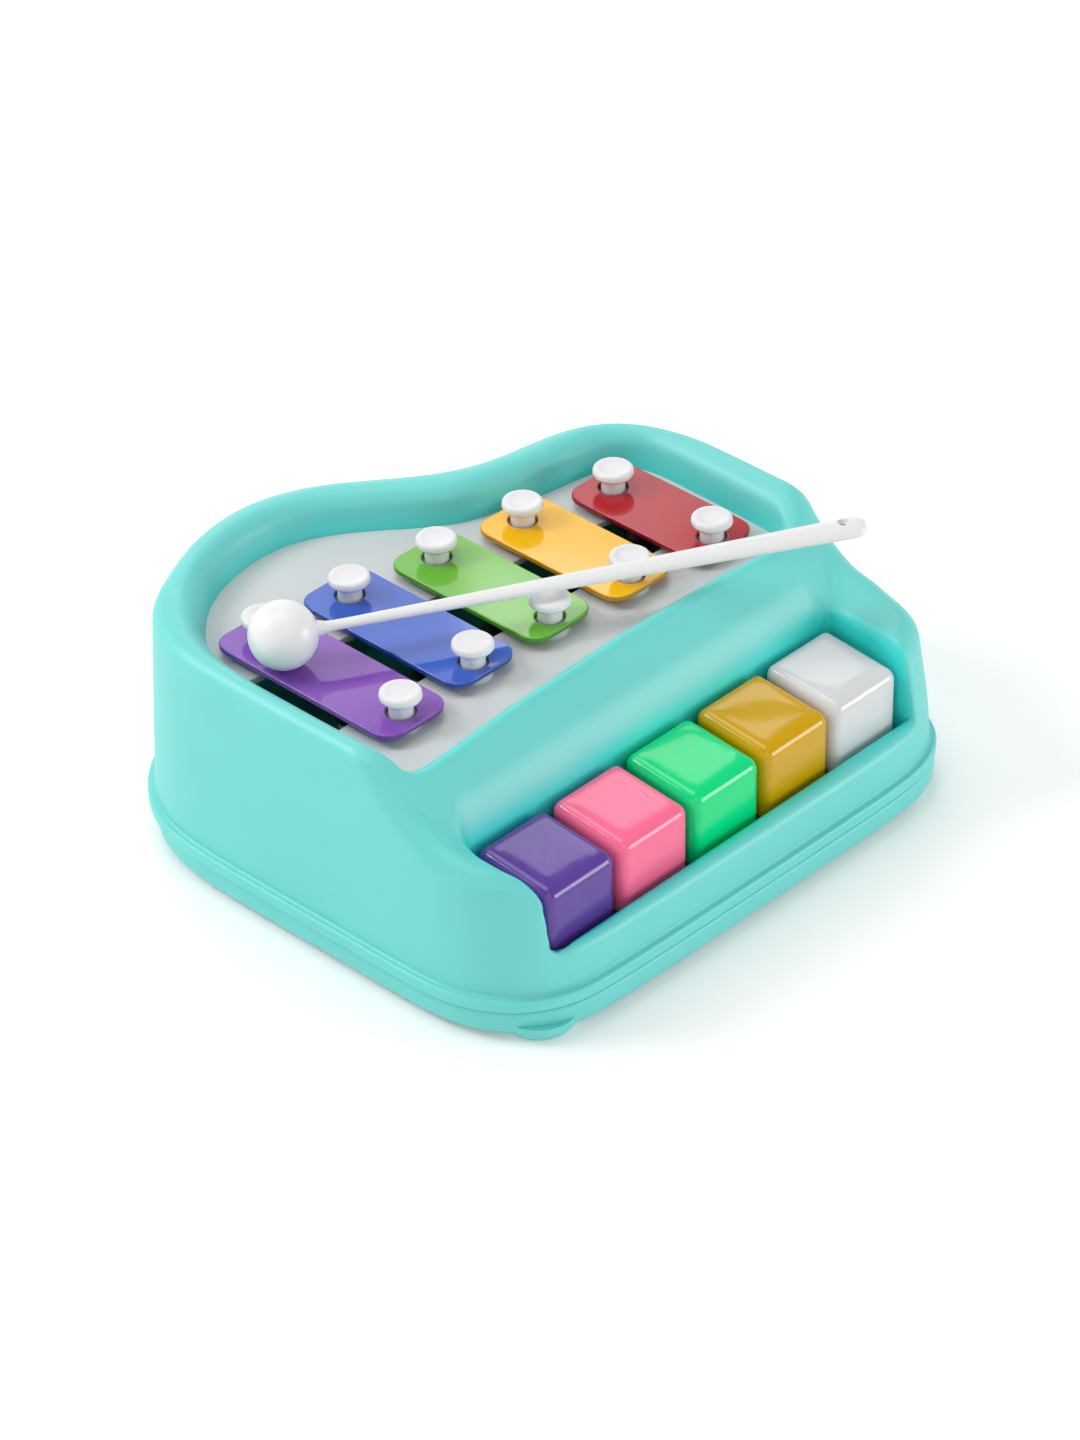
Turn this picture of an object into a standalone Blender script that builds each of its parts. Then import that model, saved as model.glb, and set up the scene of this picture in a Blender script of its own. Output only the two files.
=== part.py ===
"""Xylophone piano toy.

A two part housing with a grand piano outline. A white deck in its top carries
five tone bars on mushroom pins. Five cube keys at the front swing on one shaft
and throw hammers against the bars from below. A loose mallet lies on the toy.

Axes: +X runs along the keys to the player's right, -Y is the key side, +Z is up.
The feet stand on z = 0. All sizes are in metres.
"""
import math

import bmesh
import bpy
from mathutils import Matrix, Vector

# Key row
KEY_NAMES = ("purple", "pink", "green", "gold", "white")
KEY_COLOURS = ("#5F3D96", "#FF6F96", "#0FE08A", "#D0A514", "#ECECEE")
CAP_WIDTH = 0.0258
CAP_DEPTH = 0.026
CAP_HEIGHT = 0.022
CAP_WALL = 0.0018
CAP_ROUND = 0.0024
CAP_SIDES = 3
CAP_TILT_SHARE = 0.048
KEY_GAP = 0.0032
KEY_PITCH = CAP_WIDTH + KEY_GAP
WELL_SIDE_GAP = 0.003
WELL_HALF_WIDTH = (len(KEY_NAMES) * KEY_PITCH - KEY_GAP) / 2 + WELL_SIDE_GAP
CHEEK_WIDTH = 0.02035
BODY_WIDTH = 2 * (WELL_HALF_WIDTH + CHEEK_WIDTH)
KEY_ROW_SHARE = -0.4191
KEY_ROW_Y = BODY_WIDTH * KEY_ROW_SHARE

# Plan outlines, as shares of the body width
FLANGE_SHARES = (
    (-0.027, -0.475), (0.185, -0.477), (0.334, -0.477), (0.408, -0.463), (0.463, -0.431),
    (0.497, -0.376), (0.506, -0.303), (0.506, -0.180), (0.506, -0.048), (0.506, 0.048),
    (0.497, 0.111), (0.471, 0.181), (0.422, 0.238), (0.353, 0.271), (0.275, 0.285),
    (0.208, 0.297), (0.140, 0.329), (0.060, 0.393), (-0.021, 0.450), (-0.128, 0.483),
    (-0.242, 0.470), (-0.340, 0.428), (-0.412, 0.385), (-0.467, 0.318), (-0.495, 0.244),
    (-0.502, 0.154), (-0.501, 0.005), (-0.499, -0.154), (-0.496, -0.292), (-0.476, -0.363),
    (-0.433, -0.424), (-0.367, -0.459), (-0.282, -0.470),
)
POCKET_SHARES = (
    (0.063, -0.165), (0.238, -0.168), (0.376, -0.174), (0.401, -0.161), (0.410, -0.127),
    (0.413, -0.058), (0.415, 0.027), (0.415, 0.095), (0.404, 0.140), (0.373, 0.168),
    (0.328, 0.180), (0.257, 0.190), (0.185, 0.206), (0.124, 0.224), (0.074, 0.256),
    (0.021, 0.301), (-0.035, 0.346), (-0.091, 0.375), (-0.151, 0.385), (-0.223, 0.376),
    (-0.295, 0.348), (-0.357, 0.295), (-0.401, 0.225), (-0.419, 0.143), (-0.420, 0.016),
    (-0.418, -0.111), (-0.412, -0.161), (-0.390, -0.178), (-0.239, -0.171), (-0.091, -0.167),
)
WINDOW_SHARES = (
    (-0.396, -0.019), (-0.080, -0.018), (0.106, -0.025), (0.254, -0.042), (0.392, -0.056),
    (0.392, 0.054), (-0.396, 0.166),
)
OUTLINE_STEPS = 2

# Shells
WALL = 0.0022
FIT_GAP = 0.0003
OVERLAP = 0.001
FOOT_HEIGHT = 0.0025
FLOOR_THICKNESS = 0.002
FLOOR_TOP_Z = FOOT_HEIGHT + FLOOR_THICKNESS
BASE_HEIGHT = 0.0072
SEAM_Z = FOOT_HEIGHT + BASE_HEIGHT
FLANGE_THICKNESS = 0.004
FLANGE_TOP_Z = SEAM_Z + FLANGE_THICKNESS
FLANGE_STEP = 0.0019
FLANGE_ROUND = 0.0008
WALL_DRAFT = 0.003
RIM_ROUND = 0.005
RIM_SIDES = 4
RIM_ROLL_DEGREES = 78
POCKET_DRAFT = 0.003
POCKET_ROUND = 0.005

# Heights, from the tray's floor up through the levers and keys to the rim
ARM_CLEARANCE = 0.0105
ARM_BOTTOM_Z = FLOOR_TOP_Z + ARM_CLEARANCE
ARM_HEIGHT = 0.0057
ARM_TOP_Z = ARM_BOTTOM_Z + ARM_HEIGHT
KEY_TOP_Z = ARM_TOP_Z + FIT_GAP + CAP_HEIGHT
KEY_DROP = 0.0085
CHEEK_TOP_Z = KEY_TOP_Z + KEY_DROP
CHEEK_DROP = 0.0219
RIM_TOP_Z = CHEEK_TOP_Z + CHEEK_DROP
POCKET_DEPTH = 0.0112
DECK_TOP_Z = RIM_TOP_Z - POCKET_DEPTH
LIP_DROP = 0.016
LIP_TOP_Z = KEY_TOP_Z - LIP_DROP

# Body profile, measured back from the key fronts
WELL_REAR_GAP = 0.0026
WELL_BACK = CAP_DEPTH + WELL_REAR_GAP
SLOPE_FOOT_STEP = 0.0002
SLOPE_RUN = 0.0206
SLOPE_FOOT_BACK = WELL_BACK + SLOPE_FOOT_STEP
SLOPE_TOP_BACK = SLOPE_FOOT_BACK + SLOPE_RUN
CHEEK_FRONT_BACK = -0.0006
FRONT_FOOT_BACK = -0.0088
SLOPE_TOP_ROUND = 0.008
SLOPE_FOOT_ROUND = 0.005
CHEEK_ROUND = 0.007
PROFILE_SIDES = 5
WELL_CORNER = 0.002
WELL_FLARE = 0.004
WELL_SKIRT_DROP = 0.0185
WELL_SKIRT_Z = CHEEK_TOP_Z - WELL_SKIRT_DROP

# Deck, bars and pins
DECK_THICKNESS = 0.002
DECK_MARGIN = 0.0018
BOSS_RADIUS = 0.0052
BOSS_HEIGHT = 0.0022
BAR_NAMES = ("purple", "blue", "green", "yellow", "red")
BAR_COLOURS = ("#8555B8", "#3A5FC4", "#6DB33A", "#E8AE14", "#B5202E")
BAR_THICKNESS = 0.0018
BAR_TOP_Z = DECK_TOP_Z + BOSS_HEIGHT + FIT_GAP + BAR_THICKNESS
BAR_EDGE = 0.0004
BAR_PITCH_SHARE = 0.15915
BAR_PITCH = BODY_WIDTH * BAR_PITCH_SHARE
BAR_GAP = 0.0052
BAR_WIDTH = BAR_PITCH - BAR_GAP
BAR_CORNER = 0.0045
BAR_HOLE_RADIUS = 0.0042
BAR_FRONT_SHARES = (-0.1141, -0.0971, -0.0997, -0.1141, -0.1337)
BAR_REAR_SHARES = (0.2546, 0.2403, 0.2122, 0.1857, 0.1464)
PIN_FRONT_SHARES = (-0.0748, -0.0637, -0.0663, -0.0790, -0.0992)
PIN_REAR_SHARES = (0.2111, 0.1915, 0.1676, 0.1422, 0.1034)
PIN_RISE = 0.0079
PIN_TOP_Z = BAR_TOP_Z + PIN_RISE
PIN_HEAD_RADIUS = 0.006
PIN_NECK_RADIUS = 0.0031
PIN_STEM_RADIUS = 0.002
PIN_RIM_DROP = 0.001
PIN_HEAD_DROP = 0.0028
PIN_FILLET_DROP = 0.0038
PIN_DIMPLE = 0.0003
PIN_DIMPLE_SHARE = 0.4
PIN_SIDES = 16

# Levers, hammers and shaft
PIVOT_GAP = 0.020
PIVOT_BACK = CAP_DEPTH + PIVOT_GAP
PIVOT_RISE = 0.0013
PIVOT_Z = ARM_TOP_Z + PIVOT_RISE
SHAFT_RADIUS = 0.002
HUB_RADIUS = 0.0046
LEVER_WIDTH = 0.006
BLOCK_SIDE_GAP = 0.0005
BLOCK_WIDTH = CAP_WIDTH - 2 * (CAP_WALL + BLOCK_SIDE_GAP)
BLOCK_MARGIN = CAP_WALL + BLOCK_SIDE_GAP
BLOCK_TOP_GAP = 0.0026
BLOCK_TOP_Z = KEY_TOP_Z - CAP_WALL - BLOCK_TOP_GAP
HAMMER_ARM = 0.041
HAMMER_BACK = PIVOT_BACK + HAMMER_ARM
HAMMER_ROOM = 0.003
TIP_REST_GAP = 0.0014
TIP_TOP_Z = DECK_TOP_Z - DECK_THICKNESS - TIP_REST_GAP
TIP_RADIUS = 0.004
TIP_HEIGHT = 0.0068
TIP_CROWN_SHARES = ((1, -0.5), (0.77, -0.17), (0.42, 0))
STEM_WIDTH = 0.005
STEM_TOP_Z = TIP_TOP_Z - TIP_HEIGHT - FIT_GAP
STEM_PIN_RADIUS = 0.002
STEM_PIN_HEIGHT = 0.0039
STEM_PIN_TOP_Z = STEM_TOP_Z + STEM_PIN_HEIGHT

# Springs and felts
SPRING_BACK = 0.016
SPRING_RADIUS = 0.0031
SPRING_WIRE = 0.0004
SPRING_TURNS = 4
SPRING_STEPS = 9
WIRE_SIDES = 5
FELT_THICKNESS = 0.002
FELT_WIDTH = 0.006
FELT_HALF_LENGTH = len(KEY_NAMES) * KEY_PITCH / 2
STOP_FELT_BACK = 0.002
STOP_TRAVEL = 0.0064
STOP_FELT_TOP_Z = ARM_BOTTOM_Z - STOP_TRAVEL
REST_FELT_LEAD = 0.017
REST_FELT_BACK = HAMMER_BACK - REST_FELT_LEAD

# Tray
BASE_INSET = 0.0024
BASE_SHIFT = 0.0012
BASE_ROUND = 0.0032
FOOT_RADIUS = 0.010
FOOT_ROUND = 0.0008
FOOT_SHARES = ((-0.381, -0.4005), (0.3845, -0.4005), (-0.3395, 0.297), (0.3395, 0.1325))
SHAFT_POST_SHARES = (-2.5, -0.5, 0.5, 2.5)
POST_WIDTH = 0.004
POST_DEPTH = 0.009
POST_RISE = 0.0052
POST_TOP_Z = PIVOT_Z + POST_RISE
SHAFT_HALF_LENGTH = SHAFT_POST_SHARES[-1] * KEY_PITCH + POST_WIDTH / 2 + FIT_GAP

# Screws
SCREW_SHARES = ((-0.4482, -0.3078), (0.4482, -0.3078), (-0.4493, 0.106), (0.4482, 0.0106))
SCREW_POST_DROP = 0.0064
SCREW_POST_TOPS = (CHEEK_TOP_Z - WALL / 2,) * 2 + (RIM_TOP_Z - SCREW_POST_DROP,) * 2
SCREW_RADIUS = 0.0013
SCREW_HEAD_RADIUS = 0.0028
SCREW_SINK = 0.0013
SCREW_HEAD_Z = FOOT_HEIGHT + SCREW_SINK
SCREW_HEAD_HEIGHT = 0.002
SCREW_LENGTH = 0.0202
SCREW_TOP_Z = SCREW_HEAD_Z + SCREW_LENGTH
SCREW_POST_RADIUS = 0.0032
SCREW_BOSS_HEIGHT = 0.0095
SCREW_BOSS_TOP_Z = FLOOR_TOP_Z + SCREW_BOSS_HEIGHT

# Mallet
BALL_RADIUS = 0.0098
BALL_SHARES = (-0.3517, 0.1305)
HANDLE_END_SHARES = (0.434, -0.3034)
BALL_SOCKET = 0.008
HANDLE_PROFILE = ((0.0024, 0.0013), (0.0094, 0.0014), (0.0102, 0.0021), (0.0128, 0.0016), (0.018, 0.0014))
HANDLE_END_RADIUS = 0.003
HANDLE_END_ROUND = 0.0012
HANDLE_HOLE_BACK = 0.006
HANDLE_HOLE_RADIUS = 0.0011
HANDLE_SIDES = 12
ROUND_SIDES = 20
BALL_SIDES = 24

# Surfaces
TEAL = "#62D6D0"
WHITE = "#E9E9EB"
STEEL = "#B9BABD"
FELT = "#3C3F45"
RUBBER = "#2A2B2E"
SHARP_DEGREES = 32


def clear_scene():
    for thing in list(bpy.data.objects):
        bpy.data.objects.remove(thing, do_unlink=True)


def linear(value):
    """One sRGB channel, 0 to 1, as linear light."""
    return value / 12.92 if value <= 0.04045 else ((value + 0.055) / 1.055) ** 2.4


def material(name, colour, roughness, metallic=0.0):
    made = bpy.data.materials.new(name)
    made.use_nodes = True
    surface = made.node_tree.nodes["Principled BSDF"]
    channels = [linear(int(colour[i:i + 2], 16) / 255) for i in (1, 3, 5)]
    surface.inputs["Base Color"].default_value = (*channels, 1.0)
    surface.inputs["Roughness"].default_value = roughness
    surface.inputs["Metallic"].default_value = metallic
    made.diffuse_color = (*channels, 1.0)
    return made


def add_object(name, bm):
    """A new object from a closed bmesh, with outward normals."""
    bmesh.ops.remove_doubles(bm, verts=bm.verts, dist=FIT_GAP / 1000)
    bmesh.ops.recalc_face_normals(bm, faces=bm.faces)
    mesh = bpy.data.meshes.new(name)
    bm.to_mesh(mesh)
    bm.free()
    made = bpy.data.objects.new(name, mesh)
    bpy.context.scene.collection.objects.link(made)
    return made


def finish(made, colour, roughness, metallic=0.0, origin=(0, 0, 0)):
    """Shading, material and origin of a finished piece."""
    made.data.transform(Matrix.Translation(-Vector(origin)))
    made.location = origin
    made.data.shade_smooth()
    made.data.set_sharp_from_angle(angle=math.radians(SHARP_DEGREES))
    made.data.materials.clear()
    made.data.materials.append(material(made.name, colour, roughness, metallic))
    return made


def copy_piece(made, name):
    twin = made.copy()
    twin.data = made.data.copy()
    twin.name = name
    twin.data.name = name
    bpy.context.scene.collection.objects.link(twin)
    return twin


def combine(target, tool, operation):
    """Joins, cuts or intersects target with tool, which is used up."""
    modifier = target.modifiers.new("solid", "BOOLEAN")
    modifier.operation = operation
    modifier.solver = "EXACT"
    modifier.object = tool
    graph = bpy.context.evaluated_depsgraph_get()
    result = bpy.data.meshes.new_from_object(target.evaluated_get(graph))
    target.modifiers.clear()
    old = target.data
    target.data = result
    result.name = target.name
    bpy.data.meshes.remove(old)
    bpy.data.objects.remove(tool, do_unlink=True)
    return target


def loft(name, rings):
    """A closed solid through rings of equal length, with flat ends."""
    bm = bmesh.new()
    rows = [[bm.verts.new(point) for point in ring] for ring in rings]
    count = len(rows[0])
    for low, high in zip(rows, rows[1:]):
        for i in range(count):
            j = (i + 1) % count
            bm.faces.new((low[i], low[j], high[j], high[i]))
    bm.faces.new(list(reversed(rows[0])))
    bm.faces.new(rows[-1])
    return add_object(name, bm)


def level(outline, z):
    return [Vector((x, y, z)) for x, y in outline]


def prism(name, outline, low, high):
    return loft(name, [level(outline, low), level(outline, high)])


def block(name, low, high):
    corners = ((low[0], low[1]), (high[0], low[1]), (high[0], high[1]), (low[0], high[1]))
    return prism(name, corners, low[2], high[2])


def circle(radius, centre, sides):
    angles = [2 * math.pi * i / sides for i in range(sides)]
    return [(centre[0] + radius * math.cos(a), centre[1] + radius * math.sin(a)) for a in angles]


def turned(name, profile, centre, sides):
    """A solid of revolution about Z from (radius, z) pairs, bottom to top."""
    rings = [level(circle(radius, centre, sides), z) for radius, z in profile]
    return loft(name, rings)


def closed_spline(shares, size, steps):
    """A smooth closed outline through points given as shares of one size."""
    points = [Vector(share) * size for share in shares]
    count = len(points)
    outline = []
    for i in range(count):
        a, b, c, d = (points[(i + k) % count] for k in (-1, 0, 1, 2))
        for step in range(steps):
            t = step / steps
            near, far = (c - a) / 2, (d - b) / 2
            flat = b * (2 * t ** 3 - 3 * t ** 2 + 1) + c * (3 * t ** 2 - 2 * t ** 3)
            bend = near * (t ** 3 - 2 * t ** 2 + t) + far * (t ** 3 - t ** 2)
            outline.append(flat + bend)
    return outline


def offset(outline, distance):
    """The outline moved outwards, or inwards for a negative distance."""
    count = len(outline)
    moved = []
    for i in range(count):
        before = (Vector(outline[i]) - Vector(outline[i - 1])).normalized()
        after = (Vector(outline[(i + 1) % count]) - Vector(outline[i])).normalized()
        along = (before + after).normalized()
        stretch = max(along.dot(after), 0.5)
        moved.append(Vector(outline[i]) + Vector((along.y, -along.x)) * distance / stretch)
    return moved


def arc(start, end, steps):
    return [math.radians(start + (end - start) * i / steps) for i in range(steps + 1)]


def rounded_rectangle(half_x, low_y, high_y, radius, sides):
    corners = (
        (half_x - radius, low_y + radius, -90), (half_x - radius, high_y - radius, 0),
        (radius - half_x, high_y - radius, 90), (radius - half_x, low_y + radius, 180),
    )
    outline = []
    for x, y, start in corners:
        for angle in arc(start, start + 90, sides):
            outline.append((x + radius * math.cos(angle), y + radius * math.sin(angle)))
    return outline


def round_corner(before, corner, after, radius, sides):
    """Points of the arc that rounds a corner between two straight runs."""
    before, corner, after = Vector(before), Vector(corner), Vector(after)
    to_before, to_after = (before - corner).normalized(), (after - corner).normalized()
    half = to_before.angle(to_after) / 2
    centre = corner + (to_before + to_after).normalized() * radius / math.sin(half)
    start = corner + to_before * radius / math.tan(half) - centre
    turn = to_before.angle_signed(to_after)
    sweep = math.copysign(math.pi - abs(turn), turn)
    points = []
    for i in range(sides + 1):
        angle = sweep * i / sides
        spun = Vector((
            start.x * math.cos(angle) - start.y * math.sin(angle),
            start.x * math.sin(angle) + start.y * math.cos(angle),
        ))
        points.append(centre + spun)
    return points


def body_profile(inward):
    """Side view of the housing above the flange, as (y, z), moved inwards."""
    far = BODY_WIDTH
    slope = Vector((SLOPE_TOP_BACK - SLOPE_FOOT_BACK, RIM_TOP_Z - CHEEK_TOP_Z))
    front = Vector((CHEEK_FRONT_BACK - FRONT_FOOT_BACK, CHEEK_TOP_Z - FLANGE_TOP_Z))
    front_foot = FRONT_FOOT_BACK - front.x * FLANGE_TOP_Z / front.y
    corners = [
        (far, 0), (far, RIM_TOP_Z), (KEY_ROW_Y + SLOPE_TOP_BACK, RIM_TOP_Z),
        (KEY_ROW_Y + SLOPE_FOOT_BACK, CHEEK_TOP_Z), (KEY_ROW_Y + CHEEK_FRONT_BACK, CHEEK_TOP_Z),
        (KEY_ROW_Y + front_foot, 0),
    ]
    corners = offset(corners, -inward)
    radii = (0, 0, SLOPE_TOP_ROUND - inward, SLOPE_FOOT_ROUND + inward, CHEEK_ROUND - inward, 0)
    points = []
    for i, radius in enumerate(radii):
        if radius:
            run = round_corner(corners[i - 1], corners[i], corners[i + 1], radius, PROFILE_SIDES)
            points.extend(run)
        else:
            points.append(corners[i])
    return points


def profile_prism(name, inward):
    side = body_profile(inward)
    return loft(name, [[Vector((x, y, z)) for y, z in side] for x in (-BODY_WIDTH, BODY_WIDTH)])


def wall_rings(outline, inward, bottom):
    """Rings of the housing wall: draft, then the roll onto the rim top."""
    radius = RIM_ROUND - inward
    top = RIM_TOP_Z - inward
    rings = [level(offset(outline, -inward), bottom)]
    rings.append(level(offset(outline, -inward - WALL_DRAFT), top - radius))
    for angle in arc(0, 90, RIM_SIDES)[1:]:
        inset = inward + WALL_DRAFT + radius * (1 - math.cos(angle))
        rings.append(level(offset(outline, -inset), top - radius * (1 - math.sin(angle))))
    return rings


def pocket_rings(outline, outward, bottom, top):
    """Rings of the pocket for the bars, flaring onto the rim top."""
    rings = [level(offset(outline, outward), z) for z in (bottom, DECK_TOP_Z + OVERLAP)]
    for angle in arc(0, RIM_ROLL_DEGREES, RIM_SIDES):
        reach = outward + POCKET_DRAFT + POCKET_ROUND * (1 - math.cos(angle))
        rings.append(level(offset(outline, reach), RIM_TOP_Z - POCKET_ROUND * (1 - math.sin(angle))))
    rings.append([Vector((point.x, point.y, top)) for point in rings[-1]])
    return rings


def key_well():
    """The opening for the keys, with its side edges flared at the cheeks."""
    high_y = KEY_ROW_Y + WELL_BACK
    rings = []
    levels = [(0, LIP_TOP_Z)]
    for angle in arc(0, RIM_ROLL_DEGREES, RIM_SIDES):
        rise = WELL_FLARE * math.sin(angle)
        levels.append((WELL_FLARE * (1 - math.cos(angle)), CHEEK_TOP_Z - WELL_FLARE + rise))
    levels.append((levels[-1][0], RIM_TOP_Z))
    for flare, z in levels:
        outline = rounded_rectangle(WELL_HALF_WIDTH + flare, -BODY_WIDTH, high_y, WELL_CORNER, 2)
        rings.append(level(outline, z))
    return loft("well", rings)


def upper_shell(flange, pocket):
    wall = offset(flange, -FLANGE_STEP)
    shell = loft("upper_shell", wall_rings(wall, 0, SEAM_Z + OVERLAP))
    combine(shell, profile_prism("side", 0), "INTERSECT")
    ledge = offset(flange, -FLANGE_ROUND)
    ledge_z = FLANGE_TOP_Z - FLANGE_ROUND
    plate = loft("flange", [level(flange, SEAM_Z), level(flange, ledge_z), level(ledge, FLANGE_TOP_Z)])
    combine(shell, plate, "UNION")

    cavity = loft("cavity", wall_rings(wall, WALL, SEAM_Z - OVERLAP))
    combine(cavity, profile_prism("inner side", WALL), "INTERSECT")
    skirt = DECK_TOP_Z + FIT_GAP
    curtain = loft("curtain", pocket_rings(pocket, WALL, skirt, RIM_TOP_Z + WALL))
    combine(cavity, curtain, "DIFFERENCE")
    well_side = WELL_HALF_WIDTH + WALL
    well_rear = KEY_ROW_Y + WELL_BACK + WALL
    frame = block("frame", (-well_side, -BODY_WIDTH, WELL_SKIRT_Z), (well_side, well_rear, RIM_TOP_Z))
    combine(cavity, frame, "DIFFERENCE")
    combine(shell, cavity, "DIFFERENCE")

    opening = loft("opening", pocket_rings(pocket, 0, DECK_TOP_Z - WALL, RIM_TOP_Z + WALL))
    combine(shell, opening, "DIFFERENCE")
    combine(shell, key_well(), "DIFFERENCE")
    for place, top in zip(places(SCREW_SHARES), SCREW_POST_TOPS):
        low = SCREW_BOSS_TOP_Z + FIT_GAP
        outline = circle(SCREW_POST_RADIUS, place, ROUND_SIDES)
        combine(shell, prism("post", outline, low, top), "UNION")
        hole = circle(SCREW_RADIUS + FIT_GAP, place, ROUND_SIDES // 2)
        combine(shell, prism("hole", hole, low - OVERLAP, SCREW_TOP_Z + OVERLAP), "DIFFERENCE")
    return finish(shell, TEAL, 0.38)


def base_shell(flange):
    outline = [point - Vector((0, BASE_SHIFT)) for point in offset(flange, -BASE_INSET)]
    top = SEAM_Z - FIT_GAP
    rings = []
    for angle in arc(0, 90, RIM_SIDES):
        inset = BASE_ROUND * (1 - math.sin(angle))
        rings.append(level(offset(outline, -inset), FOOT_HEIGHT + BASE_ROUND * (1 - math.cos(angle))))
    rings.append(level(outline, top))
    base = loft("base_shell", rings)
    inner = [level(offset(outline, -WALL - FLOOR_THICKNESS / 2), FLOOR_TOP_Z)]
    inner.append(level(offset(outline, -WALL), top))
    inner.append(level(offset(outline, -WALL), top + OVERLAP))
    combine(base, loft("inside", inner), "DIFFERENCE")
    floor = FLOOR_TOP_Z
    for place in places(FOOT_SHARES):
        profile = ((FOOT_RADIUS - FOOT_ROUND, 0), (FOOT_RADIUS, FOOT_ROUND), (FOOT_RADIUS, floor - OVERLAP))
        combine(base, turned("foot", profile, place, ROUND_SIDES), "UNION")
    for share in SHAFT_POST_SHARES:
        x = share * KEY_PITCH
        y = KEY_ROW_Y + PIVOT_BACK
        low = (x - POST_WIDTH / 2, y - POST_DEPTH / 2, floor - OVERLAP)
        high = (x + POST_WIDTH / 2, y + POST_DEPTH / 2, POST_TOP_Z)
        combine(base, block("post", low, high), "UNION")
    rails = ((STOP_FELT_BACK, STOP_FELT_TOP_Z), (REST_FELT_BACK, ARM_BOTTOM_Z - FIT_GAP))
    for back, felt_top in rails:
        low = (-FELT_HALF_LENGTH, KEY_ROW_Y + back, floor - OVERLAP)
        high = (FELT_HALF_LENGTH, KEY_ROW_Y + back + FELT_WIDTH, felt_top - FELT_THICKNESS - FIT_GAP)
        combine(base, block("rail", low, high), "UNION")
    for place in places(SCREW_SHARES):
        boss = circle(SCREW_POST_RADIUS, place, ROUND_SIDES)
        combine(base, prism("boss", boss, floor - OVERLAP, SCREW_BOSS_TOP_Z), "UNION")
        recess = circle(SCREW_HEAD_RADIUS + FIT_GAP, place, ROUND_SIDES // 2 + 2)
        head_top = SCREW_HEAD_Z + SCREW_HEAD_HEIGHT + FIT_GAP
        combine(base, prism("recess", recess, 0, head_top), "DIFFERENCE")
        hole = circle(SCREW_RADIUS + FIT_GAP, place, ROUND_SIDES // 2)
        combine(base, prism("hole", hole, floor, SCREW_BOSS_TOP_Z + OVERLAP), "DIFFERENCE")
    combine(base, shaft("bore", SHAFT_RADIUS + FIT_GAP, SHAFT_HALF_LENGTH + OVERLAP), "DIFFERENCE")
    return finish(base, TEAL, 0.38)


def shaft(name, radius, half_length):
    centre = (KEY_ROW_Y + PIVOT_BACK, PIVOT_Z)
    rings = []
    for x in (-half_length, half_length):
        rings.append([Vector((x, y, z)) for y, z in circle(radius, centre, PIN_SIDES)])
    return loft(name, rings)


def places(shares):
    """Points in plan from shares of the body width."""
    return [(x * BODY_WIDTH, y * BODY_WIDTH) for x, y in shares]


def pin_places():
    for i, name in enumerate(BAR_NAMES):
        x = along_row(i, BAR_PITCH)
        yield "front_" + name, (x, PIN_FRONT_SHARES[i] * BODY_WIDTH)
        yield "rear_" + name, (x, PIN_REAR_SHARES[i] * BODY_WIDTH)


def bar_deck(pocket):
    outline = offset(pocket, DECK_MARGIN)
    deck = prism("bar_deck", outline, DECK_TOP_Z - DECK_THICKNESS, DECK_TOP_Z)
    cut = prism("window", places(WINDOW_SHARES), DECK_TOP_Z - DECK_THICKNESS - OVERLAP, DECK_TOP_Z + OVERLAP)
    combine(deck, cut, "DIFFERENCE")
    boss_top = DECK_TOP_Z + BOSS_HEIGHT
    for _, place in pin_places():
        boss = circle(BOSS_RADIUS, place, PIN_SIDES)
        combine(deck, prism("boss", boss, DECK_TOP_Z - OVERLAP, boss_top), "UNION")
        hole = circle(PIN_STEM_RADIUS + FIT_GAP, place, PIN_SIDES // 2)
        combine(deck, prism("hole", hole, DECK_TOP_Z - DECK_THICKNESS - OVERLAP, BAR_TOP_Z), "DIFFERENCE")
    return finish(deck, WHITE, 0.42)


def tone_bars():
    for i, name in enumerate(BAR_NAMES):
        x = along_row(i, BAR_PITCH)
        front, rear = BAR_FRONT_SHARES[i] * BODY_WIDTH, BAR_REAR_SHARES[i] * BODY_WIDTH
        rings = []
        edges = ((0, BAR_TOP_Z - BAR_THICKNESS), (0, BAR_TOP_Z - BAR_EDGE), (BAR_EDGE, BAR_TOP_Z))
        for inset, z in edges:
            outline = rounded_rectangle(
                BAR_WIDTH / 2 - inset, front + inset, rear - inset, BAR_CORNER - inset, 4)
            rings.append([Vector((x + px, py, z)) for px, py in outline])
        bar = loft("tone_bar_" + name, rings)
        for share in (PIN_FRONT_SHARES[i], PIN_REAR_SHARES[i]):
            hole = circle(BAR_HOLE_RADIUS, (x, share * BODY_WIDTH), PIN_SIDES)
            low = BAR_TOP_Z - BAR_THICKNESS - OVERLAP
            combine(bar, prism("hole", hole, low, BAR_TOP_Z + OVERLAP), "DIFFERENCE")
        finish(bar, BAR_COLOURS[i], 0.2, 0.0)


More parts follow.
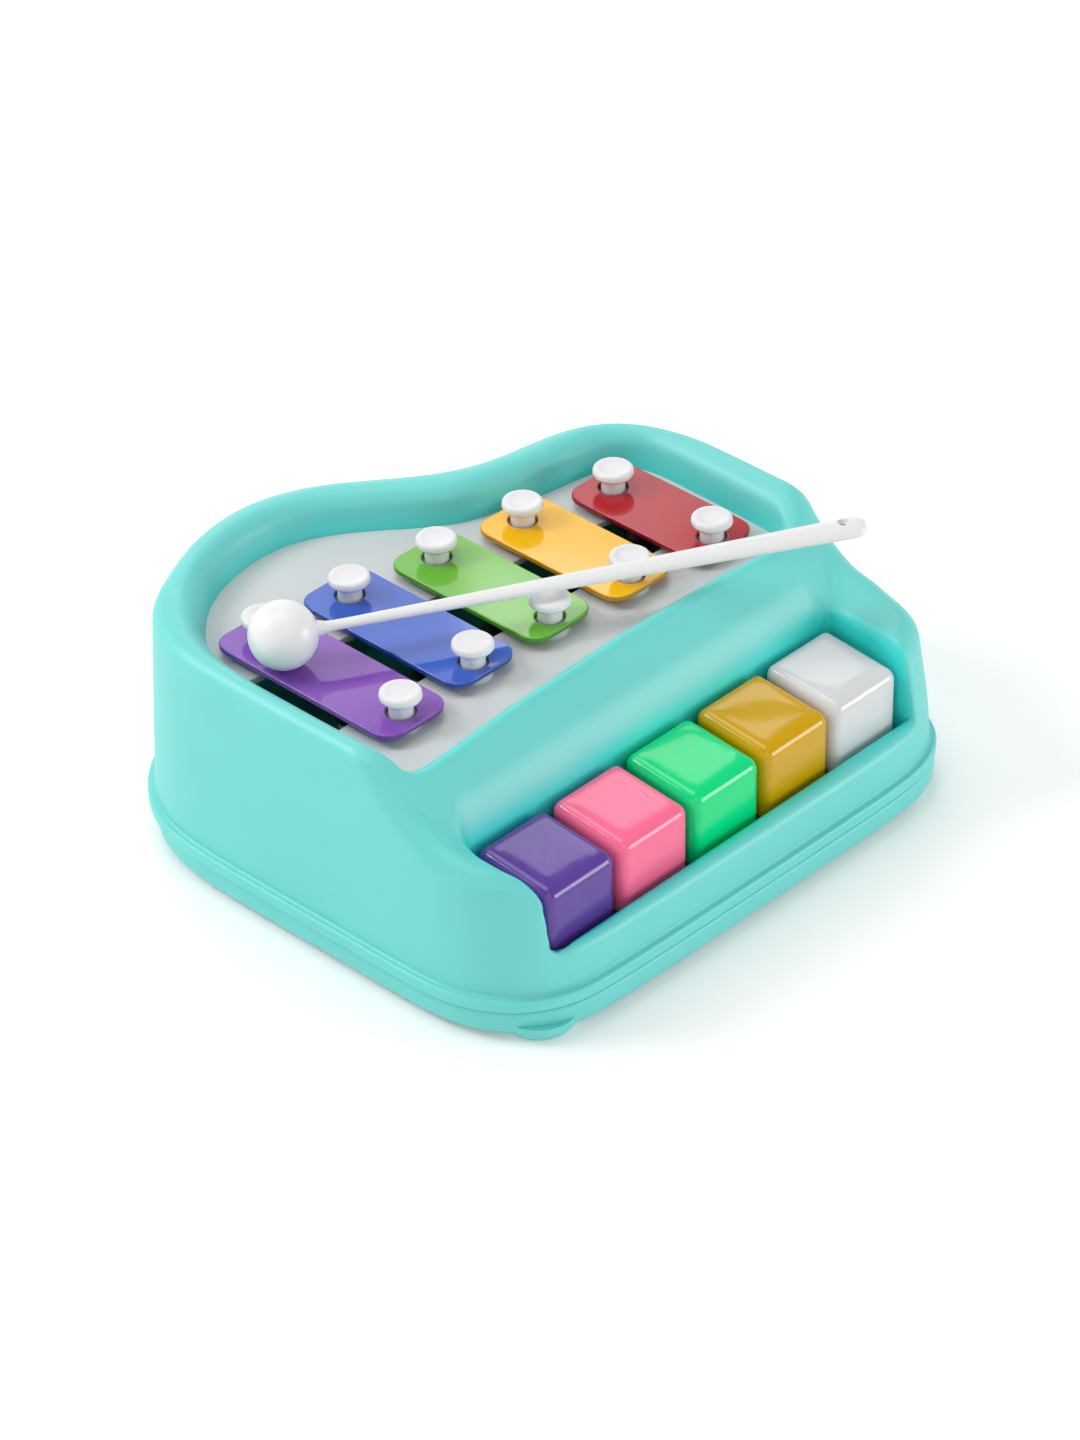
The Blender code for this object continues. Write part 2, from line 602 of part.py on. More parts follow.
def bar_pins():
    neck_z = BAR_TOP_Z - BAR_THICKNESS
    rim = PIN_HEAD_RADIUS - PIN_RIM_DROP / 2
    profile = (
        (PIN_STEM_RADIUS, DECK_TOP_Z - DECK_THICKNESS - OVERLAP), (PIN_STEM_RADIUS, neck_z),
        (PIN_NECK_RADIUS, neck_z), (PIN_NECK_RADIUS, PIN_TOP_Z - PIN_FILLET_DROP),
        (rim, PIN_TOP_Z - PIN_HEAD_DROP), (PIN_HEAD_RADIUS, PIN_TOP_Z - PIN_RIM_DROP * 2),
        (rim, PIN_TOP_Z - PIN_RIM_DROP), (PIN_HEAD_RADIUS / 2 + PIN_RIM_DROP, PIN_TOP_Z),
        (PIN_HEAD_RADIUS * PIN_DIMPLE_SHARE, PIN_TOP_Z - PIN_DIMPLE),
    )
    for name, place in pin_places():
        finish(turned("bar_pin_" + name, profile, place, PIN_SIDES), WHITE, 0.3)


def key_caps():
    low = KEY_TOP_Z - CAP_HEIGHT
    rings = []
    edges = [(0, low)]
    for angle in arc(0, 90, CAP_SIDES):
        edges.append((CAP_ROUND * (1 - math.cos(angle)), KEY_TOP_Z - CAP_ROUND * (1 - math.sin(angle))))
    for inset, z in edges:
        corner = max(CAP_ROUND - inset / 2, CAP_ROUND / 2)
        outline = rounded_rectangle(
            CAP_WIDTH / 2 - inset, KEY_ROW_Y + inset, KEY_ROW_Y + CAP_DEPTH - inset, corner, CAP_SIDES)
        tilt = CAP_TILT_SHARE * (z - low) / CAP_HEIGHT
        rings.append([Vector((x, y, z + tilt * (y - KEY_ROW_Y))) for x, y in outline])
    cap = loft("key_cap", rings)
    inner = rounded_rectangle(
        CAP_WIDTH / 2 - CAP_WALL, KEY_ROW_Y + CAP_WALL, KEY_ROW_Y + CAP_DEPTH - CAP_WALL, CAP_WALL / 2, 1)
    combine(cap, prism("inside", inner, low - OVERLAP, KEY_TOP_Z - CAP_WALL), "DIFFERENCE")
    for i, name in enumerate(KEY_NAMES):
        piece = copy_piece(cap, "key_cap_" + name)
        finish(piece, KEY_COLOURS[i], 0.16, 0.0, pivot(0))
        piece.location = pivot(along_row(i, KEY_PITCH))
    bpy.data.objects.remove(cap, do_unlink=True)


def along_row(i, pitch):
    """The x of the i-th of five pieces in a row about the middle."""
    return (i - len(KEY_NAMES) // 2) * pitch


def pivot(x):
    """The point of the shaft's axis at x."""
    return (x, KEY_ROW_Y + PIVOT_BACK, PIVOT_Z)


def key_levers():
    block_front = KEY_ROW_Y + BLOCK_MARGIN
    block_rear = KEY_ROW_Y + CAP_DEPTH - BLOCK_MARGIN
    stem_y = KEY_ROW_Y + HAMMER_BACK
    half_arm, half_block, half_stem = LEVER_WIDTH / 2, BLOCK_WIDTH / 2, STEM_WIDTH / 2
    low = (-half_arm, block_front + OVERLAP, ARM_BOTTOM_Z)
    lever = block("key_lever", low, (half_arm, stem_y + HAMMER_ROOM, ARM_TOP_Z))
    low = (-half_block, block_front, ARM_BOTTOM_Z)
    combine(lever, block("block", low, (half_block, block_rear, BLOCK_TOP_Z)), "UNION")
    combine(lever, shaft("hub", HUB_RADIUS, half_arm + OVERLAP), "UNION")
    low = (-half_stem, stem_y - half_stem, ARM_TOP_Z - OVERLAP)
    combine(lever, block("stem", low, (half_stem, stem_y + half_stem, STEM_TOP_Z)), "UNION")
    pin = circle(STEM_PIN_RADIUS, (0, stem_y), ROUND_SIDES // 2)
    combine(lever, prism("pin", pin, STEM_TOP_Z - OVERLAP, STEM_PIN_TOP_Z), "UNION")
    combine(lever, shaft("bore", SHAFT_RADIUS + FIT_GAP, LEVER_WIDTH), "DIFFERENCE")
    for i, name in enumerate(KEY_NAMES):
        piece = copy_piece(lever, "key_lever_" + name)
        finish(piece, WHITE, 0.45, 0.0, pivot(0))
        piece.location = pivot(along_row(i, KEY_PITCH))
    bpy.data.objects.remove(lever, do_unlink=True)


def hammer_tips():
    place = (0, KEY_ROW_Y + HAMMER_BACK)
    low = STEM_TOP_Z + FIT_GAP
    profile = [(TIP_RADIUS, low)]
    for across, up in TIP_CROWN_SHARES:
        profile.append((TIP_RADIUS * across, TIP_TOP_Z + TIP_RADIUS * up))
    tip = turned("hammer_tip", profile, place, PIN_SIDES)
    socket = circle(STEM_PIN_RADIUS + FIT_GAP, place, ROUND_SIDES // 2)
    combine(tip, prism("socket", socket, low - OVERLAP, STEM_PIN_TOP_Z + FIT_GAP), "DIFFERENCE")
    for i, name in enumerate(KEY_NAMES):
        piece = copy_piece(tip, "hammer_tip_" + name)
        finish(piece, RUBBER, 0.7, 0.0, pivot(0))
        piece.location = pivot(along_row(i, KEY_PITCH))
    bpy.data.objects.remove(tip, do_unlink=True)


def key_springs():
    low = FLOOR_TOP_Z + FIT_GAP + SPRING_WIRE
    high = ARM_BOTTOM_Z - FIT_GAP - SPRING_WIRE
    total = SPRING_TURNS * SPRING_STEPS
    section = circle(SPRING_WIRE, (SPRING_RADIUS, 0), WIRE_SIDES)
    for k, name in enumerate(KEY_NAMES):
        centre = Vector((along_row(k, KEY_PITCH), KEY_ROW_Y + SPRING_BACK, 0))
        rings = []
        for i in range(total + 1):
            angle = 2 * math.pi * i / SPRING_STEPS
            out = Vector((math.cos(angle), math.sin(angle), 0))
            rise = low + (high - low) * i / total
            rings.append([centre + out * reach + Vector((0, 0, rise + up)) for reach, up in section])
        finish(loft("key_spring_" + name, rings), STEEL, 0.35, 1.0)


def felts():
    strips = (
        ("key_stop_felt", STOP_FELT_BACK, STOP_FELT_TOP_Z),
        ("key_rest_felt", REST_FELT_BACK, ARM_BOTTOM_Z - FIT_GAP),
    )
    for name, back, top in strips:
        low = (-FELT_HALF_LENGTH, KEY_ROW_Y + back, top - FELT_THICKNESS)
        high = (FELT_HALF_LENGTH, KEY_ROW_Y + back + FELT_WIDTH, top)
        finish(block(name, low, high), FELT, 0.95)


def screws():
    names = ("front_left", "front_right", "rear_left", "rear_right")
    head_top = SCREW_HEAD_Z + SCREW_HEAD_HEIGHT
    profile = (
        (SCREW_HEAD_RADIUS - FIT_GAP, SCREW_HEAD_Z),
        (SCREW_HEAD_RADIUS, SCREW_HEAD_Z + SCREW_HEAD_HEIGHT / 2),
        (SCREW_HEAD_RADIUS, head_top), (SCREW_RADIUS, head_top),
        (SCREW_RADIUS, SCREW_TOP_Z - SCREW_RADIUS), (SCREW_RADIUS / 3, SCREW_TOP_Z),
    )
    for name, place in zip(names, places(SCREW_SHARES)):
        finish(turned("case_screw_" + name, profile, place, ROUND_SIDES // 2 + 2), STEEL, 0.3, 1.0)


def along_mallet(profile, sides):
    """Rings around the mallet's axis from (distance, radius) pairs."""
    ball_place, handle_end = places((BALL_SHARES, HANDLE_END_SHARES))
    start = Vector((*ball_place, BAR_TOP_Z + FIT_GAP + BALL_RADIUS))
    axis = (Vector((*handle_end, start.z)) - start).normalized()
    side = Vector((-axis.y, axis.x, 0))
    rings = []
    for distance, radius in profile:
        centre = start + axis * distance
        section = circle(radius, (0, 0), sides)
        rings.append([centre + side * across + Vector((0, 0, up)) for across, up in section])
    return start, axis, rings


def mallet():
    profile = list(HANDLE_PROFILE)
    length = (Vector(HANDLE_END_SHARES) - Vector(BALL_SHARES)).length * BODY_WIDTH
    flat = length - HANDLE_END_ROUND
    profile.append((flat, HANDLE_END_RADIUS))
    profile.append((length - HANDLE_END_ROUND / 3, HANDLE_END_RADIUS - HANDLE_END_ROUND / 3))
    profile.append((length, HANDLE_END_RADIUS - HANDLE_END_ROUND))
    start, axis, rings = along_mallet(profile, HANDLE_SIDES)
    handle = loft("mallet_handle", rings)
    place = start + axis * (length - HANDLE_HOLE_BACK)
    hole = circle(HANDLE_HOLE_RADIUS, place, ROUND_SIDES // 2)
    combine(handle, prism("hole", hole, place.z - BALL_RADIUS, place.z + BALL_RADIUS), "DIFFERENCE")
    finish(handle, WHITE, 0.28, 0.0, start)

    bm = bmesh.new()
    bmesh.ops.create_uvsphere(bm, u_segments=BALL_SIDES, v_segments=BALL_SIDES * 2 // 3, radius=BALL_RADIUS)
    bmesh.ops.translate(bm, vec=start, verts=bm.verts)
    ball = add_object("mallet_ball", bm)
    socket_start = BALL_RADIUS - BALL_SOCKET - FIT_GAP
    socket_radius = HANDLE_PROFILE[1][1] + FIT_GAP
    profile = ((socket_start, socket_radius), (BALL_RADIUS + OVERLAP, socket_radius))
    socket = along_mallet(profile, HANDLE_SIDES)[2]
    combine(ball, loft("socket", socket), "DIFFERENCE")
    finish(ball, WHITE, 0.22, 0.0, start)


def main():
    clear_scene()
    flange = closed_spline(FLANGE_SHARES, BODY_WIDTH, OUTLINE_STEPS)
    pocket = closed_spline(POCKET_SHARES, BODY_WIDTH, OUTLINE_STEPS)
    upper_shell(flange, pocket)
    base_shell(flange)
    finish(shaft("pivot_shaft", SHAFT_RADIUS, SHAFT_HALF_LENGTH), STEEL, 0.25, 1.0, pivot(0))
    bar_deck(pocket)
    tone_bars()
    bar_pins()
    key_caps()
    key_levers()
    hammer_tips()
    key_springs()
    felts()
    screws()
    mallet()


main()
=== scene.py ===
# %% [markdown]
# # A toy piano with real tone bars
#
# The toy is a moulded housing in the outline of a grand piano. Five enamelled steel bars lie on its
# white deck, each held loosely by two mushroom pins. Five cube keys throw hammers at the bars from
# below, and a loose white mallet plays them from above.
#
# The solid parts come first, as plain faceted shapes that carry the sizes and the motion. This
# lesson lays fine surfaces and finishes over them, one piece at a time. The places of the pieces
# are read from the solid parts, and the outlines are the ones that the solid parts use.

# %% The solid parts
import functools
import math

import bmesh
import bpy
import numpy as np
from mathutils import Matrix, Vector


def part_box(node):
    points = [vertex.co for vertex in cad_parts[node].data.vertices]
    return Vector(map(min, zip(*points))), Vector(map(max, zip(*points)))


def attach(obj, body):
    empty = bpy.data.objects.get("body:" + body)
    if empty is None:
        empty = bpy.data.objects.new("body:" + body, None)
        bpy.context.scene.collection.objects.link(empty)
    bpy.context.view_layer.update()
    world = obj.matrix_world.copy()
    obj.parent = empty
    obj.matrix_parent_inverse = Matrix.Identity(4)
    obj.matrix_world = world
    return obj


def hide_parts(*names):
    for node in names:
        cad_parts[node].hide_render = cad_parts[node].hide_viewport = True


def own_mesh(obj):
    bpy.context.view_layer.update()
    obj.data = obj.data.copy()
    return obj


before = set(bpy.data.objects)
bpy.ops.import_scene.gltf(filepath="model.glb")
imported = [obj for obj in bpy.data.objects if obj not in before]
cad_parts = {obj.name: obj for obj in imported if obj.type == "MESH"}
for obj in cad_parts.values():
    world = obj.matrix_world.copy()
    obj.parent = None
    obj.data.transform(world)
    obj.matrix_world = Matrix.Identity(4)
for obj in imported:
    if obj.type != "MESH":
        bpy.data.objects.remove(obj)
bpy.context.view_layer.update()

MM = 0.001
WELD = 0.002
for spare in ("Cube", "Light", "Camera"):
    if spare in bpy.data.objects:
        bpy.data.objects.remove(bpy.data.objects[spare], do_unlink=True)

# %% [markdown]
# ## Small helpers
#
# Every fine piece is a mesh in millimetres that is scaled to metres once, here. A piece then says
# three things: the body that it moves with, the finish that it takes, and the solid parts that it
# stands for. Its material comes with its mesh; one helper gives it its body and hides those parts.

# %% Mesh helpers
def new_piece(name, mesh, material):
    """A new object in the scene that shows a mesh."""
    piece = bpy.data.objects.new(name, mesh)
    bpy.context.scene.collection.objects.link(piece)
    mesh.materials.append(material)
    return piece


def make_piece(name, points, faces, material):
    """A new object from points in millimetres and faces."""
    mesh = bpy.data.meshes.new(name)
    mesh.from_pydata([Vector(p) * MM for p in points], [], faces)
    mesh.update()
    return new_piece(name, mesh, material)


def from_bmesh(name, bm, material):
    """A new object from a bmesh in metres, which is freed."""
    mesh = bpy.data.meshes.new(name)
    bm.to_mesh(mesh)
    bm.free()
    return new_piece(name, mesh, material)


def tidy_mesh(piece, sharp=35):
    """Merges doubled points, turns faces outwards and shades all but the sharp edges smooth."""
    bm = bmesh.new()
    bm.from_mesh(piece.data)
    bmesh.ops.remove_doubles(bm, verts=bm.verts, dist=WELD * MM)
    bmesh.ops.recalc_face_normals(bm, faces=bm.faces)
    bm.to_mesh(piece.data)
    bm.free()
    piece.data.shade_smooth()
    piece.data.set_sharp_from_angle(angle=math.radians(sharp))
    return piece


def settle(piece):
    """Turns the piece's modifiers into plain mesh."""
    graph = bpy.context.evaluated_depsgraph_get()
    solid = bpy.data.meshes.new_from_object(piece.evaluated_get(graph))
    piece.modifiers.clear()
    piece.data = solid
    return piece


def level_faces(piece):
    """Smooth shading that keeps large flat faces flat right up to their rounded edges."""
    piece.data.shade_smooth()
    modifier = piece.modifiers.new("level", "WEIGHTED_NORMAL")
    modifier.weight = 100
    return settle(piece)


def cut(piece, tool, operation="DIFFERENCE"):
    """Cuts piece with tool, or joins them, and removes the tool."""
    modifier = piece.modifiers.new("cut", "BOOLEAN")
    modifier.operation = operation
    modifier.solver = "EXACT"
    modifier.use_self = True
    modifier.object = tool
    settle(piece)
    bpy.data.objects.remove(tool, do_unlink=True)
    return piece


def join(pieces):
    """Makes one object of several, the first of which stays."""
    bm = bmesh.new()
    for piece in pieces:
        bm.from_mesh(piece.data)
    bm.to_mesh(pieces[0].data)
    bm.free()
    for piece in pieces[1:]:
        bpy.data.objects.remove(piece, do_unlink=True)
    return pieces[0]


def dress(piece, body, slot, *nodes):
    """Lets a finished piece move with a body and stand for solid parts."""
    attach(piece, body)
    if nodes:
        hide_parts(*nodes)
    print(f"{piece.name}: {len(piece.data.polygons)} faces on {body}")
    return piece


def box_mm(node):
    """Lowest and highest corner of a solid part, in millimetres."""
    low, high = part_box(node)
    return np.array(low) / MM, np.array(high) / MM


# %% [markdown]
# ## Rings, turnings and outlines
#
# Moulded parts are mostly turned or swept: a section that runs round an axis or round an outline.
# Two helpers cover both. `turn` spins pairs of radius and height about a vertical axis. `sweep`
# carries a section round a closed outline, where the first number of each pair is how far the point
# lies outside the outline.

# %% Turning and sweeping
def grid_faces(rows, columns, closed_rows=False):
    """Quads between rows of points; each row closes on itself."""
    faces = []
    for r in range(rows if closed_rows else rows - 1):
        for c in range(columns):
            d = (c + 1) % columns
            s = (r + 1) % rows
            faces.append((r * columns + c, r * columns + d, s * columns + d, s * columns + c))
    return faces


def capped(rows, columns):
    """Quads between rows of points, with a cap on the first row and the last."""
    ends = [reversed(range(columns)), range((rows - 1) * columns, rows * columns)]
    return grid_faces(rows, columns) + [tuple(end) for end in ends]


def ring_of(radius, centre, sides):
    """A circle of points, anticlockwise."""
    return [(centre[0] + radius * math.cos(a), centre[1] + radius * math.sin(a))
            for a in 2 * np.pi * np.arange(sides) / sides]


def turn(name, profile, centre, material, sides):
    """A turned solid from (radius, height) pairs, capped at both ends."""
    points = [(x, y, height) for radius, height in profile for x, y in ring_of(radius, centre, sides)]
    return tidy_mesh(make_piece(name, points, capped(len(profile), sides), material))


def arc(start, end, steps):
    """Angles in radians from start to end degrees."""
    return np.radians(np.linspace(start, end, steps + 1))


def round_over(x, z, radius, start, end, steps=5):
    """Points of an arc about a centre, for use in a profile."""
    return [(x + radius * math.cos(a), z + radius * math.sin(a)) for a in arc(start, end, steps)]


def spline(shares, size, steps=12, blur=3):
    """A smooth closed outline near points given as shares of one size."""
    points = np.array(shares) * size
    a, b, c, d = (np.roll(points, k, axis=0)[:, None] for k in (1, 0, -1, -2))
    t = (np.arange(steps) / steps)[None, :, None]
    square, cube = a - 2.5 * b + 2 * c - d / 2, 1.5 * (b - c) + (d - a) / 2
    curve = b + (c - a) * t / 2 + square * t ** 2 + cube * t ** 3
    outline = curve.reshape(-1, 2)
    for _ in range(blur * steps):
        outline = (np.roll(outline, 1, axis=0) + 2 * outline + np.roll(outline, -1, axis=0)) / 4
    return outline


def outward(outline):
    """Unit vectors that point out of an anticlockwise outline."""
    along = np.roll(outline, -1, axis=0) - np.roll(outline, 1, axis=0)
    along /= np.linalg.norm(along, axis=1)[:, None]
    return np.column_stack([along[:, 1], -along[:, 0]])


def sweep(name, outline, section, material, sharp):
    """A closed section of (outside, height) pairs carried round an outline."""
    out = outward(outline)
    points = []
    for reach, height in section:
        ring = outline + out * reach
        points += [(x, y, height) for x, y in ring]
    faces = grid_faces(len(section), len(outline), closed_rows=True)
    return tidy_mesh(make_piece(name, points, faces, material), sharp)


# %% [markdown]
# ## Finishes
#
# A finish starts from the real material and the way its surface was made. Colours are written as
# sRGB hex values, as a colour picker shows them, and one function turns them into linear light.
# Pattern sizes are written in millimetres: a noise texture's scale is the number of its patches in
# a metre, so a patch of 2 mm has scale 500.

# %% Colour and node helpers
def linear(colour):
    """An sRGB hex colour as linear light with full alpha, by the formula of the sRGB standard."""
    channels = [int(colour[i:i + 2], 16) / 255 for i in (1, 3, 5)]
    return [c / 12.92 if c <= 0.04045 else ((c + 0.055) / 1.055) ** 2.4 for c in channels] + [1.0]


def add_node(tree, kind, inputs=None, **settings):
    """One node with its settings; an input takes a value or another node's output."""
    node = tree.nodes.new(kind)
    for name, value in settings.items():
        setattr(node, name, value)
    for name, value in (inputs or {}).items():
        if isinstance(value, bpy.types.NodeSocket):
            tree.links.new(value, node.inputs[name])
        else:
            node.inputs[name].default_value = value
    return node


def start_material(name, colour, roughness, **values):
    """A material with its uniform values on the shader's own sockets."""
    material = bpy.data.materials.new(name)
    material.use_nodes = True
    tree = material.node_tree
    surface = tree.nodes["Principled BSDF"]
    surface.inputs["Base Color"].default_value = linear(colour)
    surface.inputs["Roughness"].default_value = roughness
    for key, value in values.items():
        surface.inputs[key.replace("_", " ")].default_value = value
    place = add_node(tree, "ShaderNodeTexCoord").outputs["Object"]
    return material, tree, surface, place


def noise(tree, place, size, detail, **inputs):
    """A noise whose patches are about size millimetres wide."""
    inputs |= {"Vector": place, "Scale": 1 / (size * MM), "Detail": detail}
    return add_node(tree, "ShaderNodeTexNoise", inputs).outputs["Fac"]


def remap(tree, value, start, end, low, high):
    """A value carried from the range start to end into the range low to high, and kept there."""
    return add_node(tree, "ShaderNodeMapRange", {
        "Value": value, "From Min": start, "From Max": end,
        "To Min": low, "To Max": high}).outputs["Result"]


def tint(tree, surface, share, plain, other):
    """The base colour: plain where share is 0, other where it is 1."""
    tone = add_node(tree, "ShaderNodeMix", {0: share, 6: plain, 7: other}, data_type="RGBA")
    tree.links.new(tone.outputs[2], surface.inputs["Base Color"])


def emboss(tree, surface, share, strength, height):
    """A bump up to height millimetres high."""
    bump = add_node(tree, "ShaderNodeBump", {"Height": share, "Strength": strength, "Distance": height * MM})
    tree.links.new(bump.outputs["Normal"], surface.inputs["Normal"])


# %% [markdown]
# ### Moulded ABS, satin teal
#
# The housing is injection moulded ABS. Its mould was spark eroded, which leaves an even, very fine
# grain that spreads highlights. The resin is coloured through, so the colour hardly varies: a slow
# drift of a few per cent where the melt cooled at different rates. The real grain is about 0.1 mm,
# too fine to show, so it is drawn at 0.7 mm with a very low height. A little light passes under the
# teal skin. In its hollows light goes from teal to teal, which deepens the colour. These lamps give
# less of that than the real toy shows, so the rest is painted shade: the teal turns deeper where the
# mesh's share named hollow is high.

# %% Satin teal ABS
ABS_IOR = 1.53
DRIFT, GRAIN = 35, 0.7
GRAIN_HEIGHT = 0.012
SHEEN_SPREAD = 0.05


def moulded_abs(name, light, dark, roughness, **values):
    """Satin moulding: slow colour drift, even fine grain."""
    material, tree, surface, place = start_material(name, light, roughness, IOR=ABS_IOR, **values)
    tint(tree, surface, noise(tree, place, DRIFT, 2), linear(light), linear(dark))
    fine = noise(tree, place, GRAIN, 3)
    sheen = remap(tree, fine, 0, 1, roughness - SHEEN_SPREAD, roughness + SHEEN_SPREAD)
    tree.links.new(sheen, surface.inputs["Roughness"])
    emboss(tree, surface, fine, strength=0.35, height=GRAIN_HEIGHT)
    return material


def paint_hollow_shade(material, colour, strength):
    """Paints shade: moves the colour towards a deeper one where the mesh's share named hollow is high."""
    tree = material.node_tree
    surface = tree.nodes["Principled BSDF"]
    plain = surface.inputs["Base Color"].links[0].from_socket
    share = add_node(tree, "ShaderNodeAttribute", attribute_name="hollow").outputs["Fac"]
    part = add_node(tree, "ShaderNodeMath", {0: share, 1: strength}, operation="MULTIPLY")
    tint(tree, surface, part.outputs[0], plain, linear(colour))


TEAL = moulded_abs("teal_moulded_abs", "#70DAD4", "#68D3CC", 0.46, Specular_IOR_Level=0.7,
                   Subsurface_Weight=0.25, Subsurface_Scale=0.003, Subsurface_Radius=(0.25, 1.0, 0.9))
# Painted shade: the teal turns deeper in the pocket and the key well.
paint_hollow_shade(TEAL, "#06E6E0", 0.8)
DECK_WHITE = moulded_abs("white_satin_abs", "#D6D8D9", "#D0D2D3", 0.48)
LEVER_WHITE = moulded_abs("white_natural_abs", "#E2E1DC", "#D9D8D2", 0.5)
print("satin mouldings:", TEAL.name, DECK_WHITE.name, LEVER_WHITE.name)

# %% [markdown]
# ### Moulded ABS, high gloss
#
# The key caps come from a polished mould. Their faces mirror the room, but never flatly: the thick
# plastic sinks a little as it cools, so straight reflections bend. A slow bump of some 6 mm patches
# gives that. Pins and mallet are a whiter, waxier plastic with a duller skin.

# %% Gloss plastics
RUB_SIZE, RUB_SPREAD = 2.5, 0.08
RUB_START, RUB_FULL = 0.45, 0.75


def glossy_plastic(name, colour, roughness, sink=6.0, height=0.05, **values):
    """Polished moulding whose faces have sunk slightly, with faint rub marks."""
    material, tree, surface, place = start_material(name, colour, roughness, IOR=ABS_IOR, **values)
    emboss(tree, surface, noise(tree, place, sink, 1), strength=0.6, height=height)
    rubs = noise(tree, place, RUB_SIZE, 5)
    worn = remap(tree, rubs, RUB_START, RUB_FULL, roughness, roughness + RUB_SPREAD)
    tree.links.new(worn, surface.inputs["Roughness"])
    return material


KEY_NAMES = ("purple", "pink", "green", "gold", "white")
CAP_COLOURS = ("#60409A", "#FF729A", "#06DE86", "#D2A300", "#DADBDD")
CAPS = {n: glossy_plastic("gloss_abs_" + n, c, 0.09, Specular_IOR_Level=0.4)
        for n, c in zip(KEY_NAMES, CAP_COLOURS)}
PIN_WHITE = glossy_plastic("white_polyamide", "#E6E6E8", 0.3, sink=4, height=0.008)
MALLET_WHITE = glossy_plastic("white_polypropylene", "#ECECEC", 0.3, sink=9, height=0.008)
print("gloss mouldings:", len(CAPS) + 2)

# %% [markdown]
# ### Baked enamel on steel
#
# The bars are steel strips, stamped, sprayed and baked. The enamel hides the metal and dries to a
# hard, glossy skin. Sprayed paint has orange peel, a soft dimpling about 2 mm across. Faces that turn
# from upwards, the sides and the underside, take a darker colour: that is painted shade.

# %% Baked enamel
PEEL_SIZE, PEEL_HEIGHT = 2, 0.008
UPRIGHT, LEVEL = 0.35, 0.9


def baked_enamel(name, colour, edge):
    """Sprayed enamel: glossy, with orange peel and painted shade on faces that turn from upwards."""
    material, tree, surface, place = start_material(name, colour, 0.07, IOR=1.52)
    normal = add_node(tree, "ShaderNodeTexCoord").outputs["Normal"]
    upwards = add_node(tree, "ShaderNodeSeparateXYZ", {"Vector": normal}).outputs["Z"]
    # Painted shade: faces that turn from upwards, the sides and the underside, take the darker colour.
    tint(tree, surface, remap(tree, upwards, UPRIGHT, LEVEL, 1, 0), linear(colour), linear(edge))
    emboss(tree, surface, noise(tree, place, PEEL_SIZE, 1), strength=0.5, height=PEEL_HEIGHT)
    return material


BAR_NAMES = ("purple", "blue", "green", "yellow", "red")
BAR_COLOURS = ("#8650B6", "#3D62C4", "#6DB83A", "#F4BA00", "#B6222F")
# These darker colours are painted shade for the bars' side and under faces.
BAR_SHADED_SIDES = ("#6B3D98", "#2C4A9E", "#4D9426", "#C48708", "#8E1622")
ENAMELS = {n: baked_enamel("enamel_" + n, c, e) for n, c, e in zip(BAR_NAMES, BAR_COLOURS, BAR_SHADED_SIDES)}
print("enamels:", len(ENAMELS))

# %% [markdown]
# ### Steel, felt and rubber
#
# Shaft and springs are bright drawn steel: fine lines run along the shaft, so the roughness follows
# a noise that is stretched across the toy. The screws are zinc plated, which leaves an even grain.
# Felt is matted wool: no gloss, a pale sheen from loose fibres, and a rough surface. The hammer tips
# are moulded rubber, dark and matt.

# %% Steel, felt and rubber
LINE_SIZE = 0.4
SMOOTHER, ROUGHER = 0.08, 0.12


def bright_steel(name, colour, roughness, stretch):
    """Bright metal with lines along the axis that stretch makes long, or an even plated grain."""
    material, tree, surface, place = start_material(name, colour, roughness, Metallic=1.0)
    along = add_node(tree, "ShaderNodeMapping", {"Vector": place, "Scale": stretch}).outputs["Vector"]
    lines = noise(tree, along, LINE_SIZE, 3)
    spread = remap(tree, lines, 0, 1, roughness - SMOOTHER, roughness + ROUGHER)
    tree.links.new(spread, surface.inputs["Roughness"])
    return material


def rough_stuff(name, light, dark, roughness, fibre, height, **values):
    """Felt or rubber: fibres or grain in two tones over a bumpy face."""
    material, tree, surface, place = start_material(name, light, roughness, **values)
    fibres = noise(tree, place, fibre, 6, Distortion=1.5)
    tint(tree, surface, fibres, linear(dark), linear(light))
    emboss(tree, surface, fibres, strength=0.8, height=height)
    return material


STEEL = bright_steel("bright_drawn_steel", "#C4C5C8", 0.24, (0.03, 1, 1))
SCREW_STEEL = bright_steel("zinc_plated_steel", "#BEC1C4", 0.3, (1, 1, 1))
FELT = rough_stuff("pressed_wool_felt", "#4A4D54", "#2C2E33", 0.95, 0.8, 0.25, Sheen_Weight=0.4)
RUBBER = rough_stuff("moulded_rubber", "#34353A", "#26272A", 0.65, 0.5, 0.03)
print("metals and soft finishes:", STEEL.name, SCREW_STEEL.name, FELT.name, RUBBER.name)

# %% [markdown]
# ## The housing as a formula
#
# The upper shell has no flat sheet that one could bend or bevel into it. Its wall follows a free
# outline, leans inwards as it rises, and flows into a rim, a slope, two cheeks and a lip with wide
# soft edges. Such a form could be sculpted, or cut from lofts and bevelled edge by edge. Here it is
# written as a field: a function of a point that is negative inside the plastic and grows with the
# distance outside it. Fields are easy to combine. The larger of two is what both share, the smaller
# is their union, and a rounded version of each gives fillets of a chosen radius.
#
# The plan outlines are shares of the body's width, the same that the solid parts use.

